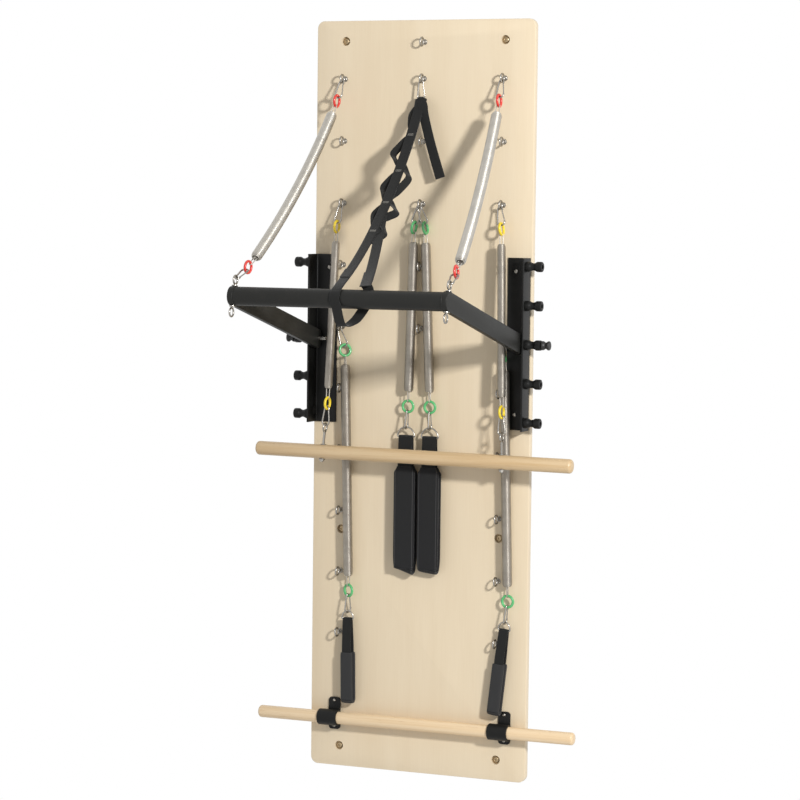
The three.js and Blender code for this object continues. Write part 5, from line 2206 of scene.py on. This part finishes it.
@dataclass
class SafetyStrap:
    """Daisy-chain webbing from its carabiner to the bar's tube, with a loose tail."""

    hardware: Hardware
    eye: Vector
    tube: Vector
    width: float = 27.0
    thickness: float = 2.6
    sag: float = 68.0
    loop_spread: float = 76.0
    loop_hang: float = 36.0
    tube_gap: float = 2.8
    landing: float = 1.1
    split: float = 0.5
    run_steps: int = 26
    fold: float = 7.0
    fold_shares: Tuple[float, ...] = (1.0, 0.6, 0.32, 0.6, 1.0)
    crossing: Tuple[float, ...] = (0.05, 0.2, 0.5, 0.85)
    hang_share: float = 0.7
    tail_length: float = 205.0
    tail_top: float = 44.0
    tail_clearance: float = 2.3
    drift: float = 13.0
    layer_gap: float = 0.4
    gathered_share: float = 0.72
    gather_length: float = 110.0
    seams: Tuple[float, ...] = (0.14, 0.3, 0.455, 0.61)
    tack_rows: int = 3
    tack_pitch: float = 2.4
    tack_half: float = 8.0
    tack_stitch: float = 1.6
    tack_rise: float = 0.7
    tack_lift: float = 0.75
    tack_thread: float = 0.38
    pockets: Tuple[Pocket, ...] = (
        Pocket(-1, 0.02, 0.13, 9.0),
        Pocket(-1, 0.14, 0.28, 28.0),
        Pocket(-1, 0.30, 0.45, 21.0),
        Pocket(-1, 0.46, 0.59, 14.0),
        Pocket(1, 0.27, 0.43, 23.0),
        Pocket(1, 0.44, 0.54, 27.0),
        Pocket(1, 0.55, 0.67, 20.0),
    )

    def top(self) -> Vector:
        """Top of the strap's carabiner."""
        return self.hardware.hang_point(self.eye, DOWN)

    def foot(self) -> Vector:
        """Foot of the strap's carabiner."""
        return self.top() + DOWN * self.hardware.length

    def reach(self) -> float:
        """Radius of the strap's middle on its way round the tube."""
        return BAR_TUBE_RADIUS + self.tube_gap + self.thickness / 2

    def round_tube(self, angle: float, x: float) -> Vector:
        """A point of the strap's middle on its way round the tube."""
        reach = self.reach()
        return vec(x, self.tube.y - reach * math.cos(angle), self.tube.z + reach * math.sin(angle))

    def run(self, share: float) -> Vector:
        """A point of the run from the carabiner to the tube.

        Args:
            share: Place on the way down, 0 to 1.

        Returns:
            The point in millimetres.
        """
        foot, end = self.foot(), self.round_tube(self.landing, 0)
        sag_way = square_to(DOWN, (end - foot).normalized())
        control = (foot + end) / 2 + sag_way * (self.sag * 2)
        return bowed(foot, control, end, share) - ACROSS_X * (self.drift * math.sin(math.pi * share))

    def along(self, share: float) -> Vector:
        """Heading of the run."""
        return (self.run(min(share + 0.01, 1.0)) - self.run(max(share - 0.01, 0.0))).normalized()

    def outward(self, share: float) -> Vector:
        """Direction square to the run, away from the board's side of it."""
        return ACROSS_X.cross(self.along(share)).normalized()

    def spread_point(self, share: float, lift: float, end_x: float) -> Vector:
        """A point lifted off the run, which spreads sideways past the split."""
        spread = max(share - self.split, 0.0) / (1 - self.split)
        return self.run(share) + self.outward(share) * lift + vec(end_x * spread, 0, 0)

    def layer(self, way: int, end_x: float) -> List[Vector]:
        """One layer of the run, spreading sideways past the split."""
        lift = way * (self.thickness / 2 + self.layer_gap)
        return [self.spread_point(step / self.run_steps, lift, end_x) for step in range(1, self.run_steps)]

    def path(self) -> List[Vector]:
        """The closed sling: over the carabiner, down, round the tube and back.

        Returns:
            Points of the sling's centre line.
        """
        foot, reach = self.foot(), self.reach()
        over = [foot + vec(0, self.fold * cosine, self.fold * sine) for cosine, sine in half_turn(8)]
        first, second, third, fourth = [share * self.loop_spread for share in self.crossing]

        def hang(x: float, forward: float, share: float) -> Vector:
            """A point of the part that hangs below the tube."""
            return vec(x, self.tube.y + forward, self.tube.z - reach - self.loop_hang * share)

        around = spline(
            [
                self.round_tube(self.landing, 0), self.round_tube(self.landing / 2, 0), self.round_tube(0, 0),
                self.round_tube(-self.landing / 2, first), hang(second, -reach / 2, 1.0),
                hang(third, reach / 2, self.hang_share),
                self.round_tube(math.pi + self.landing / 2, fourth),
                self.round_tube(math.pi, self.loop_spread),
                self.round_tube(math.pi - self.landing, self.loop_spread),
            ],
            6,
        )
        return [*over, *self.layer(-1, 0.0), *around, *self.layer(1, self.loop_spread)[::-1]]

    def sling(self) -> Piece:
        """The closed webbing band, gathered where the carabiner holds it.

        Returns:
            The band.
        """
        line, foot = self.path(), self.foot()
        folds = len(self.fold_shares) * 2 - 1
        shares = [self.fold_shares[index // 2] for index in range(folds)]
        for point in line[folds:]:
            shares.append(min(1.0, self.gathered_share + (point - foot).length / self.gather_length))
        widths = [self.width * share for share in shares]
        return ribbon("sling_band", line, widths, self.thickness, closed=True)

    def pocket(self, index: int, pocket: Pocket) -> Piece:
        """One pocket: a strip sewn down at both ends that bows out past the band's edge.

        Args:
            index: Number of the pocket.
            pocket: Its place and how far it stands out.

        Returns:
            The strip.
        """
        points, sides = [], []
        peak = 0.38 + 0.2 * ((index * 3) % 4) / 3
        edge = self.width / 2 - 5.0
        for t in (0.0, 0.08, peak * 0.55, peak, (1 + peak) / 2, 0.92, 1.0):
            share = pocket.start + (pocket.end - pocket.start) * t
            bow = min(1.0, t / peak, (1 - t) / (1 - peak))
            turned_out = min(1.0, bow * 1.5)
            outward = self.outward(share)
            stand = pocket.way * (edge * min(1.0, bow * 1.6) + pocket.stand * bow)
            base = self.run(share) + outward * (self.thickness * 1.6 + 0.6)
            points.append(base + ACROSS_X * stand + outward * (2.0 * bow))
            sides.append((ACROSS_X * (0.45 * turned_out - 1.0) - outward * (0.85 * turned_out)).normalized())
        width, thickness = self.width * 0.78, self.thickness * 0.62
        return ribbon(f"pocket_{index}", spline(points, 5), width, thickness, spline(sides, 5))

    def patch(self, name: str, end_x: float, start: float, end: float) -> Piece:
        """Doubled end of the webbing, sewn flat on the band.

        Args:
            name: Name of the piece.
            end_x: How far sideways its layer spreads by the foot of the run.
            start: Its upper end, as a share of the run.
            end: Its lower end, as a share of the run.

        Returns:
            The patch.
        """
        lift = -(self.thickness * 1.5 + 0.5)
        points = [self.spread_point(start + (end - start) * step / 6, lift, end_x) for step in range(7)]
        return ribbon(name, points, self.width * 1.04, self.thickness * 0.9)

    def tail(self) -> Piece:
        """The loose tail: down off the fold, clear of the eyes, to a turned-back end.

        Returns:
            The tail.
        """
        out = EYE_RING + EYE_WIRE + self.thickness / 2 + self.tail_clearance
        length = self.tail_length
        steps = [
            (3.0, -self.fold, 0.5), (11.0, -out * 0.75, -16.0), (17.0, -out, -self.tail_top),
            (36.0, -out - 1.0, -length * 0.55), (length * 0.32, -out, -length),
        ]
        line = spline([self.foot() + vec(*step) for step in steps], 8)
        widths = [self.width * min(1.0, 0.8 + step * 0.02) for step in range(len(line))]
        body = ribbon("tail_band", line, widths, self.thickness)
        back = ACROSS_Y * -(self.thickness * 0.95)
        doubled = [point + back for point in line[int(len(line) * 0.84):]]
        hem = ribbon("tail_hem", doubled, self.width * 0.98, self.thickness * 0.9)
        return weld([body, hem], "safety_strap_tail")

    def stitches(self) -> Piece:
        """Pale bar tacks that hold the pockets' ends.

        Returns:
            The tacks as one piece.
        """
        tacks = []
        steps = range(int(self.tack_half * 2 / self.tack_stitch) + 1)
        for share in self.seams:
            lift = self.outward(share) * -(self.thickness + self.tack_lift)
            way = self.along(share)
            for row in range(self.tack_rows):
                spot = self.run(share) + lift + way * (row * self.tack_pitch)
                line = []
                for step in steps:
                    sideways = ACROSS_X * (step * self.tack_stitch - self.tack_half)
                    line.append(spot + (sideways + way * (self.tack_rise * (step % 2))))
                tacks.append(bent_wire(f"tack_{share}_{row}", line, self.tack_thread, False, 1))
        return weld(tacks, "safety_strap_stitches")

    def build(self) -> None:
        """Makes carabiner, sling, pockets, stitches and tail."""
        snap = self.hardware.carabiner()
        snap.name = "safety_strap_snap"
        set_in_place(snap, frame_at(self.top(), hang_turn(DOWN)))
        seat(dress(snap, PLATE), ROOT, "safety_strap_carabiner")
        start, end = self.foot() * MM, self.tube * MM
        parts = [self.sling(), *[self.pocket(index, pocket) for index, pocket in enumerate(self.pockets)]]
        parts.append(self.patch("left_patch", 0.0, 0.86, 0.92))
        parts.append(self.patch("right_patch", self.loop_spread, 0.88, 0.985))
        band = dress(weld(parts, "safety_strap_band"), STRAP_WEB)
        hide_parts("safety_strap")
        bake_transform(band)
        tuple(start)
        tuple(end)
        tacks = dress(self.stitches(), THREAD)
        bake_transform(tacks)
        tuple(start)
        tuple(end)
        seat(dress(self.tail(), STRAP_WEB), ROOT)


@dataclass
class Studio:
    """Floor, lamp, world and camera. Camera and mirror-like rays see plain white."""

    yaw: float = math.radians(24.0)
    pitch: float = math.radians(3.967)
    roll: float = math.radians(0.6636)
    sensor: float = 36.0
    focal_pixels: float = 2975.47
    frame_pixels: float = 800.0
    place: Triple = (3.1499, -7.2284, 0.5437)
    clip_end: float = 100.0
    floor_height: float = -1.8
    floor_size: float = 4.2
    floor_white: float = 0.75
    fill_light: float = 0.42
    key_place: Triple = (3.72, -3.2, 1.6)
    key_aim: Triple = (0.0, 0.0, 0.6)
    key_size: float = 0.42
    key_watts: float = 226.0

    def camera(self) -> None:
        """The photograph's camera."""
        data = bpy.data.cameras.new("tower_camera")
        data.lens = self.focal_pixels / self.frame_pixels * self.sensor
        data.sensor_width = self.sensor
        data.clip_end = self.clip_end
        camera = linked("tower_camera", data)
        level = math.cos(self.pitch)
        right = vec(math.cos(self.yaw), math.sin(self.yaw), 0)
        back = vec(math.sin(self.yaw) * level, -math.cos(self.yaw) * level, math.sin(self.pitch))
        up = back.cross(right)
        across = right * math.cos(self.roll) + up * math.sin(self.roll)
        rise = up * math.cos(self.roll) - right * math.sin(self.roll)
        camera.matrix_world = frame_at(Vector(self.place), Matrix((across, rise, back)).transposed())
        bpy.context.scene.camera = camera

    def lamp(self) -> None:
        """One soft square lamp from the right."""
        data = bpy.data.lights.new("key_lamp", "AREA")
        data.size = self.key_size
        data.energy = self.key_watts
        lamp = linked("key_lamp", data)
        lamp.location = self.key_place
        heading = Vector(self.key_aim) - Vector(self.key_place)
        lamp.rotation_euler = heading.to_track_quat("-Z", "Y").to_euler()

    @staticmethod
    def seen(graph: Graph) -> Wire:
        """Whether a ray comes from the camera or off a mirror-like or clear surface.

        Args:
            graph: Graph of the world.

        Returns:
            1 where it does.
        """
        wire = graph.node("ShaderNodeLightPath", output="Is Camera Ray")
        rays = wire.socket.node.outputs
        for name in ("Is Glossy Ray", "Is Transmission Ray"):
            wire = wire.most(Wire(graph, rays[name]))
        return wire

    @staticmethod
    def share_out(graph: Graph, share: Wire, first: Wire, second: Wire, output: str) -> None:
        """Mixes two shaders into the tree's output."""
        mixed = graph.node("ShaderNodeMixShader", None, {0: share, 1: first, 2: second})
        graph.feed(graph.tree.nodes.new(output).inputs["Surface"], mixed)

    def world(self) -> None:
        """Even light for the object, and plain white for the camera."""
        world = bpy.data.worlds.new("studio_world")
        world.use_nodes = True
        bpy.context.scene.world = world
        world.node_tree.nodes.clear()
        graph = Graph(world.node_tree)
        light, white = [
            graph.node("ShaderNodeBackground", None, {"Color": WHITE, "Strength": strength})
            for strength in (self.fill_light, 1.0)
        ]
        self.share_out(graph, self.seen(graph), light, white, "ShaderNodeOutputWorld")

    def floor(self) -> None:
        """A plain pale floor that keeps the object's shadow."""
        let_go()
        bpy.ops.mesh.primitive_plane_add(size=self.floor_size, location=(0.0, 0.0, self.floor_height))
        floor = bpy.context.object
        floor.name = "studio_floor"
        material = bpy.data.materials.new("studio_floor_paint")
        material.use_nodes = True
        material.node_tree.nodes.clear()
        graph = Graph(material.node_tree)
        paint = graph.node("ShaderNodeBsdfDiffuse", None, {"Color": linear(250, 250, 250)})
        white = graph.node("ShaderNodeEmission", None, {"Color": WHITE, "Strength": 1.0})
        self.share_out(graph, self.seen(graph) * self.floor_white, paint, white, "ShaderNodeOutputMaterial")
        floor.data.materials.append(material)

    def build(self) -> None:
        """Sets up the whole studio."""
        self.camera()
        self.world()
        self.floor()
        self.lamp()
        bpy.context.scene.view_settings.view_transform = "Standard"


def main() -> None:
    """Builds the dressed tower and its studio."""
    logging.basicConfig(level=logging.INFO, format="%(message)s")
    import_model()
    hardware = Hardware()
    Board().build()
    eyes = EyeBolts().build()
    SideBrackets().build()
    bar = PushBar()
    bar.build()
    springs = SpringSet(hardware=hardware, eyes=eyes)
    chains = springs.chains(bar.eye_places())
    springs.build(chains)
    Dowels(hardware=hardware).build(chains)
    build_loops(hardware, chains)
    SafetyStrap(hardware=hardware, eye=eyes["centre_1"], tube=bar.tube()).build()
    Studio().build()


if __name__ == "__main__":
    main()
